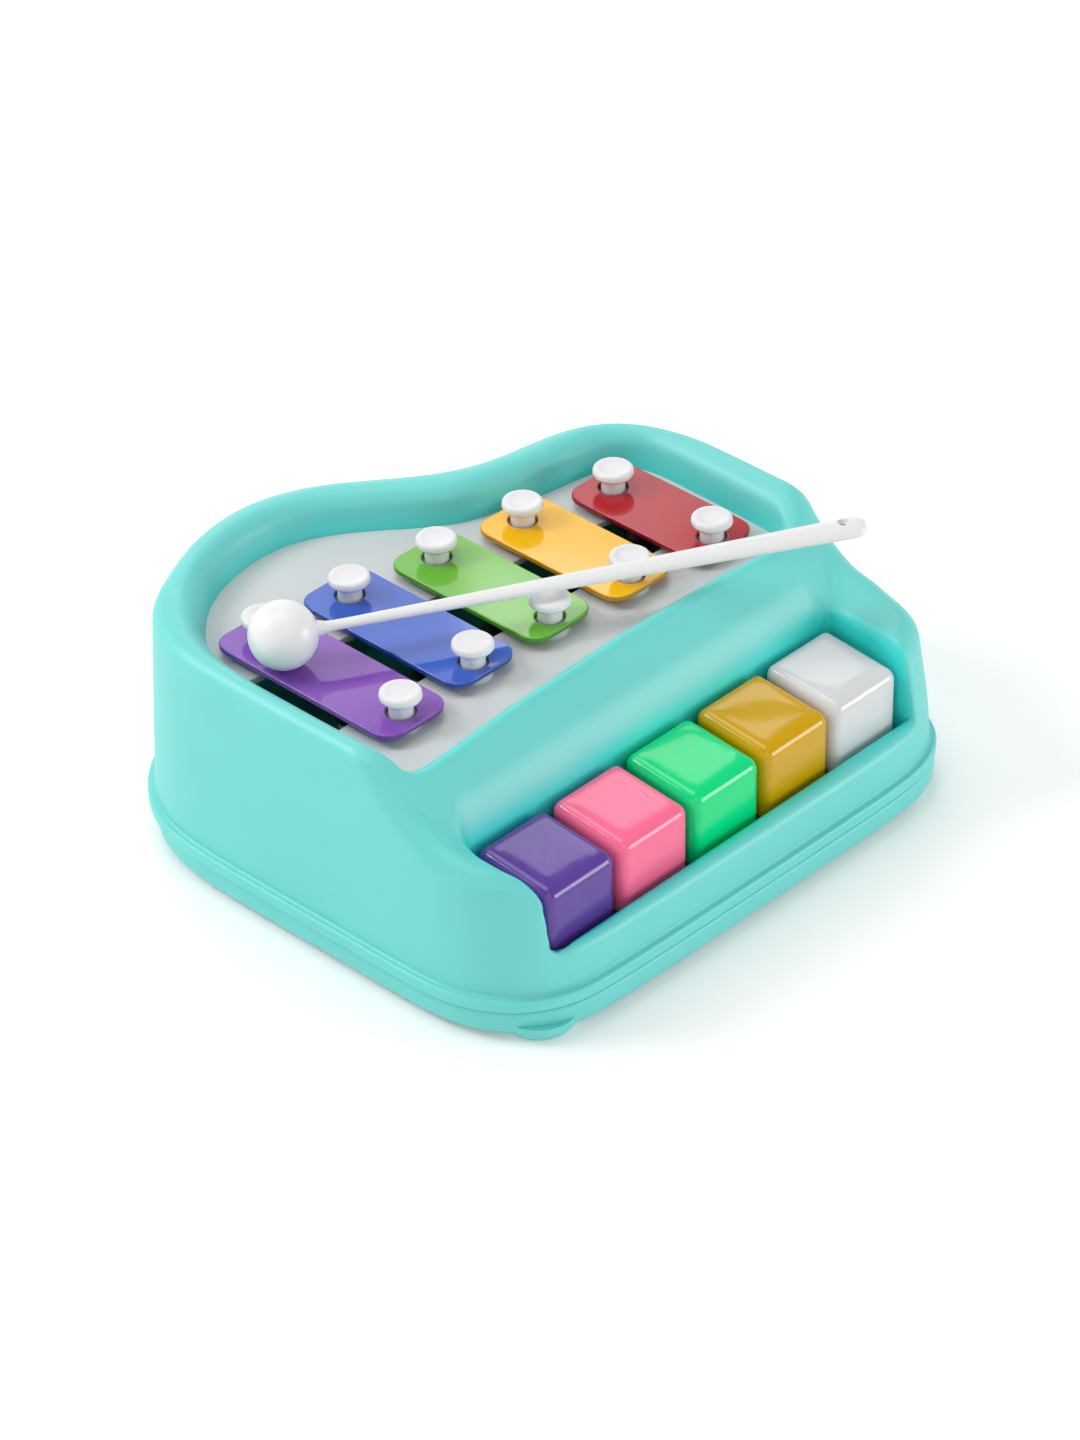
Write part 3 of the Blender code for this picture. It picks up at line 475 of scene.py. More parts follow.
# %% Plan outlines
BODY_WIDTH = 188.5
FLANGE_SHARES = (
    (-0.027, -0.475), (0.185, -0.477), (0.334, -0.477), (0.408, -0.463), (0.463, -0.431),
    (0.497, -0.376), (0.506, -0.303), (0.506, -0.180), (0.506, -0.048), (0.506, 0.048),
    (0.497, 0.111), (0.471, 0.181), (0.422, 0.238), (0.353, 0.271), (0.275, 0.285),
    (0.208, 0.297), (0.140, 0.329), (0.060, 0.393), (-0.021, 0.450), (-0.128, 0.483),
    (-0.242, 0.470), (-0.340, 0.428), (-0.412, 0.385), (-0.467, 0.318), (-0.495, 0.244),
    (-0.502, 0.154), (-0.501, 0.005), (-0.499, -0.154), (-0.496, -0.292), (-0.476, -0.363),
    (-0.433, -0.424), (-0.367, -0.459), (-0.282, -0.470),
)
POCKET_SHARES = (
    (0.063, -0.165), (0.238, -0.168), (0.376, -0.174), (0.401, -0.161), (0.410, -0.127),
    (0.413, -0.058), (0.415, 0.027), (0.415, 0.095), (0.404, 0.140), (0.373, 0.168),
    (0.328, 0.180), (0.257, 0.190), (0.185, 0.206), (0.124, 0.224), (0.074, 0.256),
    (0.021, 0.301), (-0.035, 0.346), (-0.091, 0.375), (-0.151, 0.385), (-0.223, 0.376),
    (-0.295, 0.348), (-0.357, 0.295), (-0.401, 0.225), (-0.419, 0.143), (-0.420, 0.016),
    (-0.418, -0.111), (-0.412, -0.161), (-0.390, -0.178), (-0.239, -0.171), (-0.091, -0.167),
)
flange = spline(FLANGE_SHARES, BODY_WIDTH)
pocket = spline(POCKET_SHARES, BODY_WIDTH, blur=1)
for title, outline in (("flange", flange), ("pocket", pocket)):
    print(title, "spans", np.round(np.ptp(outline, axis=0), 1), "mm")


# %% [markdown]
# A field needs the distance from any point to an outline. Measuring it to every short segment is
# slow, so it is measured once on a fine map in plan and read from the map afterwards.

# %% Distance maps
def distance_to(outline, x, y):
    """Distance from points to a closed outline, negative inside it."""
    nearest = np.full(x.shape, np.inf)
    inside = np.zeros(x.shape, bool)
    for (ax, ay), (bx, by) in zip(outline, np.roll(outline, -1, axis=0)):
        ex, ey = bx - ax, by - ay
        share = np.clip(((x - ax) * ex + (y - ay) * ey) / (ex * ex + ey * ey), 0, 1)
        nearest = np.minimum(nearest, (x - ax - share * ex) ** 2 + (y - ay - share * ey) ** 2)
        inside ^= ((ay > y) != (by > y)) & (x < ax + ex * (y - ay) / (ey or 1))
    return np.where(inside, -1, 1) * np.sqrt(nearest)


def plan_map(outline, step=0.5, reach=104):
    """A function that reads the distance to an outline from a map."""
    ticks = np.arange(-reach, reach + step, step)
    chart = distance_to(outline, *np.meshgrid(ticks, ticks, indexing="ij"))

    def read(x, y):
        u, v = (np.clip((w + reach) / step, 0, len(ticks) - 1.001) for w in (x, y))
        i, j = u.astype(int), v.astype(int)
        u, v = u - i, v - j
        near = chart[i, j] * (1 - v) + chart[i, j + 1] * v
        far = chart[i + 1, j] * (1 - v) + chart[i + 1, j + 1] * v
        return near * (1 - u) + far * u

    return read


to_flange, to_pocket = plan_map(flange), plan_map(pocket)
print("at the middle, the flange is", round(float(-to_flange(np.zeros(1), np.zeros(1))[0]), 1), "mm away")


# %% [markdown]
# `both` and `either` combine fields and round the edge between them. `ease` fades a change in.

# %% Rounded fields
def both(radius, *fields):
    """What all the fields share, with convex edges of about that radius."""
    over = sum(np.maximum(radius + field, 0) ** 2 for field in fields)
    deepest = functools.reduce(np.maximum, fields)
    return np.minimum(-radius, deepest) + np.sqrt(over)


def either(radius, *fields):
    """The union of the fields, with concave edges of about that radius."""
    return -both(radius, *(-field for field in fields))


def ease(value):
    """A smooth step from 0 to 1."""
    value = np.clip(value, 0, 1)
    return value * value * (3 - 2 * value)


# %% [markdown]
# The heights come from the solid parts. The wall's field is the distance to the outline plus what
# the wall has leaned inwards at that height. In front, above the lip, it leans back nine degrees
# more, so that the keys stand clear. Many changes are eased in: a value named RUN is the length over
# which that happens, in millimetres.

# %% Heights and walls
KEY_FRONT = box_mm("key_cap_purple")[0][1]
RIM_TOP = box_mm("upper_shell")[1][2]
SEAM = box_mm("upper_shell")[0][2]
BOSS_RISE = 2.2
DECK_TOP = box_mm("bar_deck")[1][2] - BOSS_RISE
CHEEK_TOP = RIM_TOP - 21.9
LIP_TOP = CHEEK_TOP - 25.1
FLANGE_HEIGHT = 4.0
FLANGE_STEP = 1.9
WALL = 2.2
THICK = 3.2
WALL_DRAFT = 3.0
FRONT_LEAN, LEAN_BEND = 0.16, 3
LEAN_REAR, LEAN_RUN = 39, 44


def wall_field(x, y, z):
    """Distance outside the wall, which leans back in front above the lip."""
    lean = FRONT_LEAN * LEAN_BEND * np.log1p(np.exp((z - LIP_TOP) / LEAN_BEND))
    lean = lean * ease((KEY_FRONT + LEAN_REAR - y) / LEAN_RUN)
    return to_flange(x, y - lean) + FLANGE_STEP + WALL_DRAFT * (z - SEAM) / (RIM_TOP - SEAM)


print("rim, cheeks and lip at", [round(float(v), 1) for v in (RIM_TOP, CHEEK_TOP, LIP_TOP)], "mm")

# %% [markdown]
# The top is a rim, a slope down to the keys, and a cheek to either side of them that falls inwards,
# the right one less.

# %% Rim, slope and cheeks
WELL_HALF = 73.9
SLOPE_FOOT = np.array([KEY_FRONT + 28.8, CHEEK_TOP])
SLOPE_TOP = np.array([KEY_FRONT + 49.4, RIM_TOP])
RIM_ROUND = 5
FOOT_ROUND, FOOT_MORE, FOOT_RUN = 2.5, 8, 10
CHEEK_FALL, CHEEK_START, CHEEK_RUN = 4.0, 11, 12
RIGHT_LESS, RIGHT_RUN = 0.7, 40
WELL_DROP, DROP_RUN = 6, 5


def top_field(x, y, z):
    """Distance above the rim, slope and cheeks."""
    run = SLOPE_TOP - SLOPE_FOOT
    length = math.hypot(*run)
    slope = ((z - SLOPE_FOOT[1]) * run[0] - (y - SLOPE_FOOT[0]) * run[1]) / length
    inside = ease((WELL_HALF + CHEEK_START - abs(x)) / CHEEK_RUN)
    fall = CHEEK_FALL * (1 - RIGHT_LESS * ease(x / RIGHT_RUN))
    cheek = z - CHEEK_TOP + fall * inside + WELL_DROP * ease((WELL_HALF - abs(x)) / DROP_RUN)
    foot = FOOT_ROUND + FOOT_MORE * ease((abs(x) - WELL_HALF) / FOOT_RUN)
    return both(RIM_ROUND, z - RIM_TOP, either(foot, slope, cheek))


print("slope:", round(math.degrees(math.atan2(*(SLOPE_TOP - SLOPE_FOOT)[::-1]))), "degrees")

# %% [markdown]
# From that the pocket and the key well are taken away, and the lip is added in front of the keys. On
# the photo the well narrows towards the front, so this one does, by 1.4 mm a side, although the
# solid part's doesn't.

# %% Pocket, key well and lip
WELL_REAR, WELL_CORNER = KEY_FRONT + 28.6, 2.0
WELL_NARROW, NARROW_REAR, NARROW_RUN = 1.4, 14, 12
LIP_REAR = KEY_FRONT - 2.2
LIP_THICK = 2.5
LIP_ROUND, LIP_REAR_ROUND, LIP_ENDS = 3.0, 1.6, 2.5


def pocket_field(x, y, z):
    """Distance outside the pocket for the bars, which opens upwards."""
    return to_pocket(x, y) - WALL_DRAFT * np.clip((z - DECK_TOP) / (RIM_TOP - DECK_TOP), 0, 1)


def well_field(x, y):
    """Distance outside the well for the keys, open to the front."""
    narrow = WELL_NARROW * ease((KEY_FRONT + NARROW_REAR - y) / NARROW_RUN)
    across, back = abs(x) - WELL_HALF + narrow + WELL_CORNER, y - WELL_REAR + WELL_CORNER
    beyond = np.hypot(np.maximum(across, 0), np.maximum(back, 0))
    return beyond + np.minimum(np.maximum(across, back), 0) - WELL_CORNER


def lip_field(x, y, z, wall):
    """Distance outside the lip, a low band along the front wall."""
    band = both(LIP_ROUND, wall, z - LIP_TOP)
    lip = both(LIP_REAR_ROUND, band, np.minimum(y - LIP_REAR, -LIP_THICK - wall))
    return np.maximum(lip, abs(x) - WELL_HALF - LIP_ENDS)


print("key well:", 2 * WELL_HALF, "mm wide, lip", LIP_THICK, "mm thick")

# %% [markdown]
# The edges are not equally soft. The outer one is narrow at the lip and wide above, a little less so
# behind, and widest beside the right end of the slope. The well's edge is narrow in front and low
# down, and wide along the foot of the slope.

# %% How soft the edges are
EDGE_LIP, EDGE_WIDE, EDGE_UP, EDGE_UP_RUN = 2.2, 4.2, 3, 14
EDGE_REAR, REAR_START, REAR_RUN = 1.4, 30, 25
EDGE_RIGHT, RIGHT_SIDE_RUN = 3, 60
RIGHT_FRONT, RIGHT_FRONT_RUN, RIGHT_REAR, RIGHT_REAR_RUN = 24, 10, 58, 12
WELL_EDGE, WELL_SIDE, WELL_WIDE, WELL_SIDE_RUN = 1.2, 1.8, 4.0, 6
WELL_FRONT_RUN, WELL_UP, WELL_UP_RUN = 6, 8, 8


def outer_edge(x, y, z):
    """The radius of the edge between wall and top."""
    wide = EDGE_WIDE - EDGE_REAR * ease((y - KEY_FRONT - REAR_START) / REAR_RUN)
    edge = EDGE_LIP + wide * ease((z - LIP_TOP - EDGE_UP) / EDGE_UP_RUN)
    right = EDGE_RIGHT * ease(x / RIGHT_SIDE_RUN)
    right = right * ease((y - KEY_FRONT - RIGHT_FRONT) / RIGHT_FRONT_RUN)
    return edge + right * ease((KEY_FRONT + RIGHT_REAR - y) / RIGHT_REAR_RUN)


def well_edge(x, y, z):
    """The radius of the edge round the key well."""
    wide = WELL_SIDE + WELL_WIDE * ease((WELL_HALF + 1 - abs(x)) / WELL_SIDE_RUN)
    wide = wide * ease((y - KEY_FRONT) / WELL_FRONT_RUN)
    return WELL_EDGE + wide * ease((z - LIP_TOP - WELL_UP) / WELL_UP_RUN)


# %% [markdown]
# The inner side is the same fields again, moved inwards by the wall's thickness. It leaves a curtain
# round the key well and four posts for the screws.

# %% The upper shell's field
SCREW_NODES = ["case_screw_" + n for n in ("front_left", "front_right", "rear_left", "rear_right")]
SCREWS = [(sum(box_mm(n)) / 2)[:2] for n in SCREW_NODES]
BOSS_TOP = 14.0
POST_RADIUS, POST_GAP = 3.2, 0.3
POCKET_ROUND = 4.8
LIP_JOIN = 2.0
UNDER_DECK = 2.3
CURTAIN, CURTAIN_SIDES, SIDES_START, SIDES_RUN = 18.5, 19, 3, 3
ABOVE_SEAM = 2.3


def shell_field(x, y, z):
    """The upper shell: negative in the plastic."""
    wall, top = wall_field(x, y, z), top_field(x, y, z)
    bars, keys, lip = pocket_field(x, y, z), well_field(x, y), lip_field(x, y, z, wall)
    edge, inner_edge = outer_edge(x, y, z), well_edge(x, y, z)
    skin = both(edge, wall, top)
    upper_part = both(inner_edge, both(edge, wall, both(POCKET_ROUND, top, -bars)), -keys)
    outer = np.maximum(either(LIP_JOIN, upper_part, lip), wall)
    under_deck = np.maximum(both(inner_edge, skin, -keys) + THICK, z - DECK_TOP + UNDER_DECK)
    skirt = CHEEK_TOP - CURTAIN - CURTAIN_SIDES * ease((abs(x) - WELL_HALF + SIDES_START) / SIDES_RUN)
    under_skirt = np.maximum(skin + THICK, z - skirt)
    hollow = functools.reduce(np.minimum, (outer + THICK, under_deck, under_skirt))
    post = np.min([np.hypot(x - px, y - py) for px, py in SCREWS], axis=0) - POST_RADIUS
    post = np.maximum(post, BOSS_TOP + POST_GAP - z)
    hollow = functools.reduce(np.maximum, (hollow, -lip, -post))
    return functools.reduce(np.maximum, (outer, -hollow, SEAM + ABOVE_SEAM - z))


# %% [markdown]
# ### From field to mesh
#
# A surface net turns a field into quads. The field is read on a grid. Every cell that the surface
# passes through gets one point, at the mean of where its edges are crossed, and every crossed grid
# edge gets a quad between its four cells. Then each point slides down the field's slope until it
# lies on the surface, and takes its shading normal from that slope. So the shading is as smooth as
# the formula, although the cells are more than a millimetre wide.

# %% Surface net
def surface_net(values, ticks):
    """Points and quads around the zero level of values on a grid."""
    inside = values < 0
    size = np.array(values.shape)
    eight = [inside[i:size[0] - 1 + i, j:size[1] - 1 + j, k:size[2] - 1 + k]
             for i in (0, 1) for j in (0, 1) for k in (0, 1)]
    total = sum(part.astype(np.int8) for part in eight)
    active = (total > 0) & (total < 8)
    number = np.full(active.shape, -1)
    number[active] = np.arange(active.sum())
    cells = np.argwhere(active)
    units = np.eye(3, dtype=int)
    place, hits = np.zeros(cells.shape), np.zeros(len(cells))
    quads = []
    for axis in range(3):
        one, two = units[(axis + 1) % 3], units[(axis + 2) % 3]
        for corner in (0 * one, one, two, one + two):
            start = cells + corner
            low, high = values[tuple(start.T)], values[tuple((start + units[axis]).T)]
            hit = (low < 0) != (high < 0)
            share = low[hit] / (low[hit] - high[hit])
            place[hit] += start[hit] + share[:, None] * units[axis]
            hits[hit] += 1
        low = inside[tuple(slice(1 - u, n - 1) for u, n in zip(units[axis], size))]
        high = inside[tuple(slice(1, n - 1 + u) for u, n in zip(units[axis], size))]
        edges = np.argwhere(low != high)
        leaving = low[tuple(edges.T)]
        edges = edges + 1 - units[axis]
        ring = [number[tuple((edges - shift).T)] for shift in (0 * one, one, one + two, two)]
        quad = np.stack(ring, axis=1)
        quads.append(np.where(leaving[:, None], quad, quad[:, ::-1]))
    place /= hits[:, None]
    points = np.column_stack([np.interp(place[:, k], np.arange(size[k]), ticks[k]) for k in range(3)])
    return points, np.vstack(quads)


def slope_of(field, points, step=0.35):
    """The field's gradient at points."""
    found = []
    for axis in range(3):
        shift = np.eye(3)[axis] * step
        found.append((field(*(points + shift).T) - field(*(points - shift).T)) / (2 * step))
    return np.column_stack(found)


FLATTEST, TINY = 0.2, 1e-9


def settle_on(field, points, rounds=5, most=0.6):
    """Moves points down the field's slope onto its zero level."""
    for _ in range(rounds):
        slope = slope_of(field, points, step=0.1)
        steepness = np.maximum((slope ** 2).sum(axis=1), FLATTEST)[:, None]
        move = -field(*points.T)[:, None] * slope / steepness
        far = np.linalg.norm(move, axis=1)[:, None]
        points = points + move * np.minimum(1, most / np.maximum(far, TINY))
    return points


# %% The upper shell
CELL = 1.25
low, high = box_mm("upper_shell")
ticks = [np.arange(a - 2 * CELL, b + 2 * CELL, CELL) for a, b in zip(low, high)]
values = shell_field(*np.meshgrid(*ticks, indexing="ij"))
points, quads = surface_net(values, ticks)
points = settle_on(shell_field, points)
normals = slope_of(shell_field, points)
normals /= np.maximum(np.linalg.norm(normals, axis=1), TINY)[:, None]
upper = make_piece("upper_shell_skin", points, quads.tolist(), TEAL)
upper.data.shade_smooth()
upper.data.normals_split_custom_set_from_vertices([Vector(n) for n in normals])
error = np.percentile(abs(shell_field(*points.T)), 99)
print("upper shell:", len(quads), "quads, nearly all within", round(float(error), 3), "mm of the formula")

# %% [markdown]
# The fields also tell where the shell is hollow, for the share that paints shade into the teal. It
# grows near the pocket's wall with the depth below the rim, and in the key well with the depth below
# the cheeks. In front it ends at the lip, and it leaves the outer wall out.

# %% The share named hollow, for painted shade
POCKET_NEAR, POCKET_START, POCKET_RUN = 5, 2, 14
WELL_NEAR, WELL_START, WELL_RUN = 4, 1, 6
HOLLOW_FRONT, HOLLOW_FRONT_RUN, OUTSIDE, OUTSIDE_RUN = 5, 4, 0.5, 2


def hollow_shade_share(x, y, z):
    """Share of painted shade: 1 deep in the pocket and the well, 0 on open faces."""
    in_pocket = ease(1 - abs(pocket_field(x, y, z)) / POCKET_NEAR)
    in_pocket *= ease((RIM_TOP - POCKET_START - z) / POCKET_RUN)
    in_well = ease(1 - np.maximum(well_field(x, y), 0) / WELL_NEAR)
    in_well *= ease((CHEEK_TOP + WELL_START - z) / WELL_RUN)
    behind_lip = ease((y - LIP_REAR + HOLLOW_FRONT) / HOLLOW_FRONT_RUN)
    in_well *= behind_lip * ease((-wall_field(x, y, z) - OUTSIDE) / OUTSIDE_RUN)
    return np.maximum(in_pocket, in_well)


share = hollow_shade_share(*points.T).astype(np.float32)
upper.data.attributes.new("hollow", "FLOAT", "POINT").data.foreach_set("value", share)
print("hollow: over a half at", int((share > 0.5).sum()), "of", len(share), "points")

# %% [markdown]
# ## The flange
#
# A moulded shell ends in a flange that stiffens its edge and meets the tray. It is a small step:
# a straight band, a rounded edge, and a hollow fillet up to the wall. Its section is the same all
# round, so it is swept along the outline. Its inner side hides inside the wall.

# %% Flange band
FLANGE_TOP = SEAM + FLANGE_HEIGHT
FLANGE_ROUND, FILLET, FILLET_SINK = 0.9, 1.3, 0.35
FILLET_END = (-FLANGE_STEP - 0.9, FLANGE_TOP + FILLET + 0.2)
INNER_SIDE = -FLANGE_STEP - WALL - 0.6
section = [(INNER_SIDE, SEAM)] + round_over(-FLANGE_ROUND, SEAM + FLANGE_ROUND, FLANGE_ROUND, -90, 0)
section += round_over(-FLANGE_ROUND, FLANGE_TOP - FLANGE_ROUND, FLANGE_ROUND, 0, 90)
section += round_over(-FLANGE_STEP + FILLET - FILLET_SINK, FLANGE_TOP + FILLET, FILLET, 270, 185)
section += [FILLET_END, (INNER_SIDE, FLANGE_TOP)]
band = sweep("flange_band", flange, section, TEAL, sharp=60)
dress(upper, "housing", "teal_shell", "upper_shell")
dress(band, "housing", "teal_shell", "upper_shell")

# %% [markdown]
# ## The tray
#
# The lower half is a shallow tray with four feet, posts for the shaft, two rails for the felts and a
# boss round each screw. It is smaller than the flange, so a shadow line runs round under the seam.
# The bowl is a stack of outlines, each a little further in or out. On the photo the tray is fuller
# than the solid one, so its wall stands 1.0 mm further out here and its floor 0.5 mm lower.

# %% Tray sizes
BASE_BOTTOM = 2.0
FLOOR_TOP = 4.5
BASE_INSET = 1.4
BASE_SHIFT = 1.2
BASE_ROUND = 2.0
TRAY_LIP = ((0, 1.1), (0.12, 0.6), (0.4, 0.22), (0.9, 0), (1.9, 0), (2.2, 0.3))
TRAY_WALL, TRAY_FILLET = 2.3, 2.2
SEAM_GAP = 0.3
IN_FLOOR = 4
PIVOT_Y, PIVOT_Z = (float(v) for v in (sum(box_mm("pivot_shaft")) / 2)[1:])
SHAFT_BORE, BORE_END = 2.3, 76
POSTS = (-72.5, -14.5, 14.5, 72.5)
POST_WIDE, POST_DEEP, POST_HIGH = 2, 4.5, 5.2
FELT_GAP = 0.3
FEET = np.array([(-0.381, -0.4005), (0.3845, -0.4005), (-0.3395, 0.297), (0.3395, 0.1325)]) * BODY_WIDTH
FOOT = ((0.01, 0.5), (5.6, 0.5), (6.1, 0.35), (6.4, 0), (7.9, 0), (8.6, 0.12), (9.3, 0.5), (9.9, 1.1),
        (10.4, 1.9), (10.8, 2.9), (11.0, 5.0), (0.01, 5.0))
SCREW_BOSS = ((3.6, IN_FLOOR), (3.2, 6), (3.2, BOSS_TOP - 0.3), (2.9, BOSS_TOP))
SCREW_HOLE = ((3.3, 1), (3.3, 2.7), (3.1, 2.9), (3.1, 6.1), (1.6, 6.1), (1.6, 16))
print("shaft at y", round(PIVOT_Y, 1), "z", round(PIVOT_Z, 1), "mm")


# %% Stacks and blocks
def inset(outline, amount):
    """The outline moved inwards by amount."""
    return outline - outward(outline) * amount


def stack(name, levels, material):
    """A closed solid through (outline, height) levels, capped at both ends."""
    points = [(x, y, z) for outline, z in levels for x, y in outline]
    return tidy_mesh(make_piece(name, points, capped(len(levels), len(levels[0][0])), material))


def block(name, low, high, material):
    """A plain block, for joining and cutting."""
    (x0, y0, z0), (x1, y1, z1) = low, high
    return stack(name, [([(x0, y0), (x1, y0), (x1, y1), (x0, y1)], z) for z in (z0, z1)], material)


# %% [markdown]
# Feet, posts, rails and bosses are joined to the bowl with one boolean. Another cuts the screw holes
# and the bore for the shaft.

# %% The tray
tray_outline = inset(flange[::2] - (0, BASE_SHIFT), BASE_INSET)
levels = [(inset(tray_outline, BASE_ROUND * (1 - math.sin(a))),
           BASE_BOTTOM + BASE_ROUND * (1 - math.cos(a))) for a in arc(0, 90, 6)]
levels += [(inset(tray_outline, i), SEAM - SEAM_GAP - d) for i, d in TRAY_LIP]
levels += [(inset(tray_outline, TRAY_WALL + TRAY_FILLET * (1 - math.cos(a))),
            FLOOR_TOP + TRAY_FILLET * (1 - math.sin(a))) for a in arc(0, 90, 4)]
tray = stack("base_tray", levels, TEAL)
added = [turn("foot", FOOT, spot, TEAL, 40) for spot in FEET]
for x in POSTS:
    added.append(block("post", (x - POST_WIDE, PIVOT_Y - POST_DEEP, IN_FLOOR),
                       (x + POST_WIDE, PIVOT_Y + POST_DEEP, PIVOT_Z + POST_HIGH), TEAL))
for felt in ("key_stop_felt", "key_rest_felt"):
    (x0, y0, z0), (x1, y1, _) = box_mm(felt)
    added.append(block("rail", (x0, y0, IN_FLOOR), (x1, y1, z0 - FELT_GAP), TEAL))
added += [turn("boss", SCREW_BOSS, spot, TEAL, 28) for spot in SCREWS]
cut(tray, join(added), "UNION")
removed = [turn("bore", SCREW_HOLE, spot, TEAL, 28) for spot in SCREWS]
rod = turn("rod", [(SHAFT_BORE, -BORE_END), (SHAFT_BORE, BORE_END)], (0, 0), TEAL, 24)
across = Matrix.Rotation(math.pi / 2, 4, "Y")
rod.data.transform(Matrix.Translation((0, PIVOT_Y * MM, PIVOT_Z * MM)) @ across)
cut(tray, join(removed + [rod]))
tidy_mesh(tray)
dress(tray, "housing", "teal_shell", "base_shell")

# %% [markdown]
# ## The deck
#
# The white deck closes the housing under the bars. Its window lets the hammers through, and each pin
# stands in a low round boss on which the bar rests. Its edge runs into the curtain of the pocket, as
# a moulded part would slide into a groove. A plate with holes is quickest made flat: an outline with
# inner outlines, filled by a triangulation that keeps them, then given its thickness and soft edges.

# %% Plates with holes
from mathutils.geometry import delaunay_2d_cdt

KEEP_EDGES, NEAR = 2, 1e-7


def plate(name, outline, holes, low, high, edge, material, steps=3):
    """A flat plate between two heights, with holes and rounded upper and lower edges."""
    loops = [np.array(outline, float)] + [np.array(hole, float)[::-1] for hole in holes]
    reaches = [(edge * (1 - math.sin(a)), edge * (1 - math.cos(a))) for a in arc(0, 90, steps)]
    levels = [(r, low + d) for r, d in reaches] + [(r, high - d) for r, d in reversed(reaches)]
    points, faces, first = [], [], []
    for loop in loops:
        first.append(len(points))
        for reach, z in levels:
            points += [(x, y, z) for x, y in inset(loop, reach)]
        start, count = first[-1], len(loop)
        faces += [tuple(start + i for i in face) for face in grid_faces(len(levels), count)]
    for level in (0, len(levels) - 1):
        flat, edges, where = [], [], []
        for loop, start in zip(loops, first):
            ring = range(start + level * len(loop), start + (level + 1) * len(loop))
            here = len(flat)
            flat += [Vector(points[i][:2]) for i in ring]
            where += list(ring)
            edges += [(here + i, here + (i + 1) % len(loop)) for i in range(len(loop))]
        spots, _, fill, origins, _, _ = delaunay_2d_cdt(flat, edges, [], KEEP_EDGES, NEAR)
        number = [where[o[0]] for o in origins]
        centres = np.array([[sum(spots[i][k] for i in f) / len(f) for k in (0, 1)] for f in fill])
        for face, spot in zip(fill, centres):
            x, y = spot[:, None]
            in_plate = distance_to(loops[0], x, y)[0] < 0
            if in_plate and all(distance_to(hole[::-1], x, y)[0] > 0 for hole in loops[1:]):
                faces.append(tuple(number[i] for i in face))
    return tidy_mesh(make_piece(name, points, faces, material))


# %% Deck plate
PIN_NODES = [f"bar_pin_{end}_{name}" for end in ("front", "rear") for name in BAR_NAMES]
PINS = [(sum(box_mm(n)) / 2)[:2] for n in PIN_NODES]
PIN_TOP = box_mm(PIN_NODES[0])[1][2]
WINDOW_SHARES = (
    (-0.396, -0.019), (-0.080, -0.018), (0.106, -0.025), (0.254, -0.042), (0.392, -0.056),
    (0.392, 0.054), (-0.396, 0.166),
)
window = np.array(WINDOW_SHARES) * BODY_WIDTH
DECK_REACH, DECK_THICK, DECK_EDGE = 0.8, 2, 0.25
PIN_BORE = 2.3
holes = [window] + [ring_of(PIN_BORE, spot, 20) for spot in PINS]
deck = plate("deck_plate", inset(pocket, -DECK_REACH)[::2], holes,
             DECK_TOP - DECK_THICK, DECK_TOP, DECK_EDGE, DECK_WHITE)
print("deck plate:", len(holes), "holes")

# %% [markdown]
# ### One tree that repeats a part
#
# Bosses, pins and screws each repeat one turned shape at several places. A Geometry Nodes tree does
# that: its input mesh is only a set of points, and it puts a copy of the part at each. The copies
# are made real at the end, because an export drops instances.

# %% The repeating tree
def new_tree(name, **inputs):
    """A Geometry Nodes tree with a geometry input, named inputs and a geometry output."""
    tree = bpy.data.node_groups.new(name, "GeometryNodeTree")
    tree.interface.new_socket("Geometry", in_out="INPUT", socket_type="NodeSocketGeometry")
    for title, kind in inputs.items():
        tree.interface.new_socket(
            title.replace("_", " "), in_out="INPUT", socket_type="NodeSocket" + kind)
    tree.interface.new_socket("Geometry", in_out="OUTPUT", socket_type="NodeSocketGeometry")
    return tree, add_node(tree, "NodeGroupInput").outputs


def end_tree(tree, geometry, material):
    """Ends a tree with Realize Instances and Set Material."""
    real = add_node(tree, "GeometryNodeRealizeInstances", {"Geometry": geometry})
    painted = add_node(tree, "GeometryNodeSetMaterial", {
        "Geometry": real.outputs[0], "Material": material})
    add_node(tree, "NodeGroupOutput", {"Geometry": painted.outputs[0]})


def run_tree(piece, tree, **values):
    """Applies a tree to a piece with its inputs set, and leaves plain mesh."""
    modifier = piece.modifiers.new(tree.name, "NODES")
    modifier.node_group = tree
    sockets = {s.name: s.identifier for s in tree.interface.items_tree if s.in_out == "INPUT"}
    for title, value in values.items():
        modifier[sockets[title.replace("_", " ")]] = value
    settle(piece)
    piece.data.materials.clear()
    piece.data.materials.append(values["Material"])
    return piece


repeat, given = new_tree("repeat_part", Part="Object", Material="Material")
part = add_node(repeat, "GeometryNodeObjectInfo", {"Object": given["Part"]})
copies = add_node(repeat, "GeometryNodeInstanceOnPoints", {
    "Points": given["Geometry"], "Instance": part.outputs["Geometry"]})
end_tree(repeat, copies.outputs["Instances"], given["Material"])


def repeated(name, part, places, material):
    """One piece with a copy of a part at each place."""
    points = [(*place, 0) for place in places]
    piece = make_piece(name, points, [], material)
    run_tree(piece, repeat, Part=part, Material=material)
    bpy.data.objects.remove(part, do_unlink=True)
    return tidy_mesh(piece)


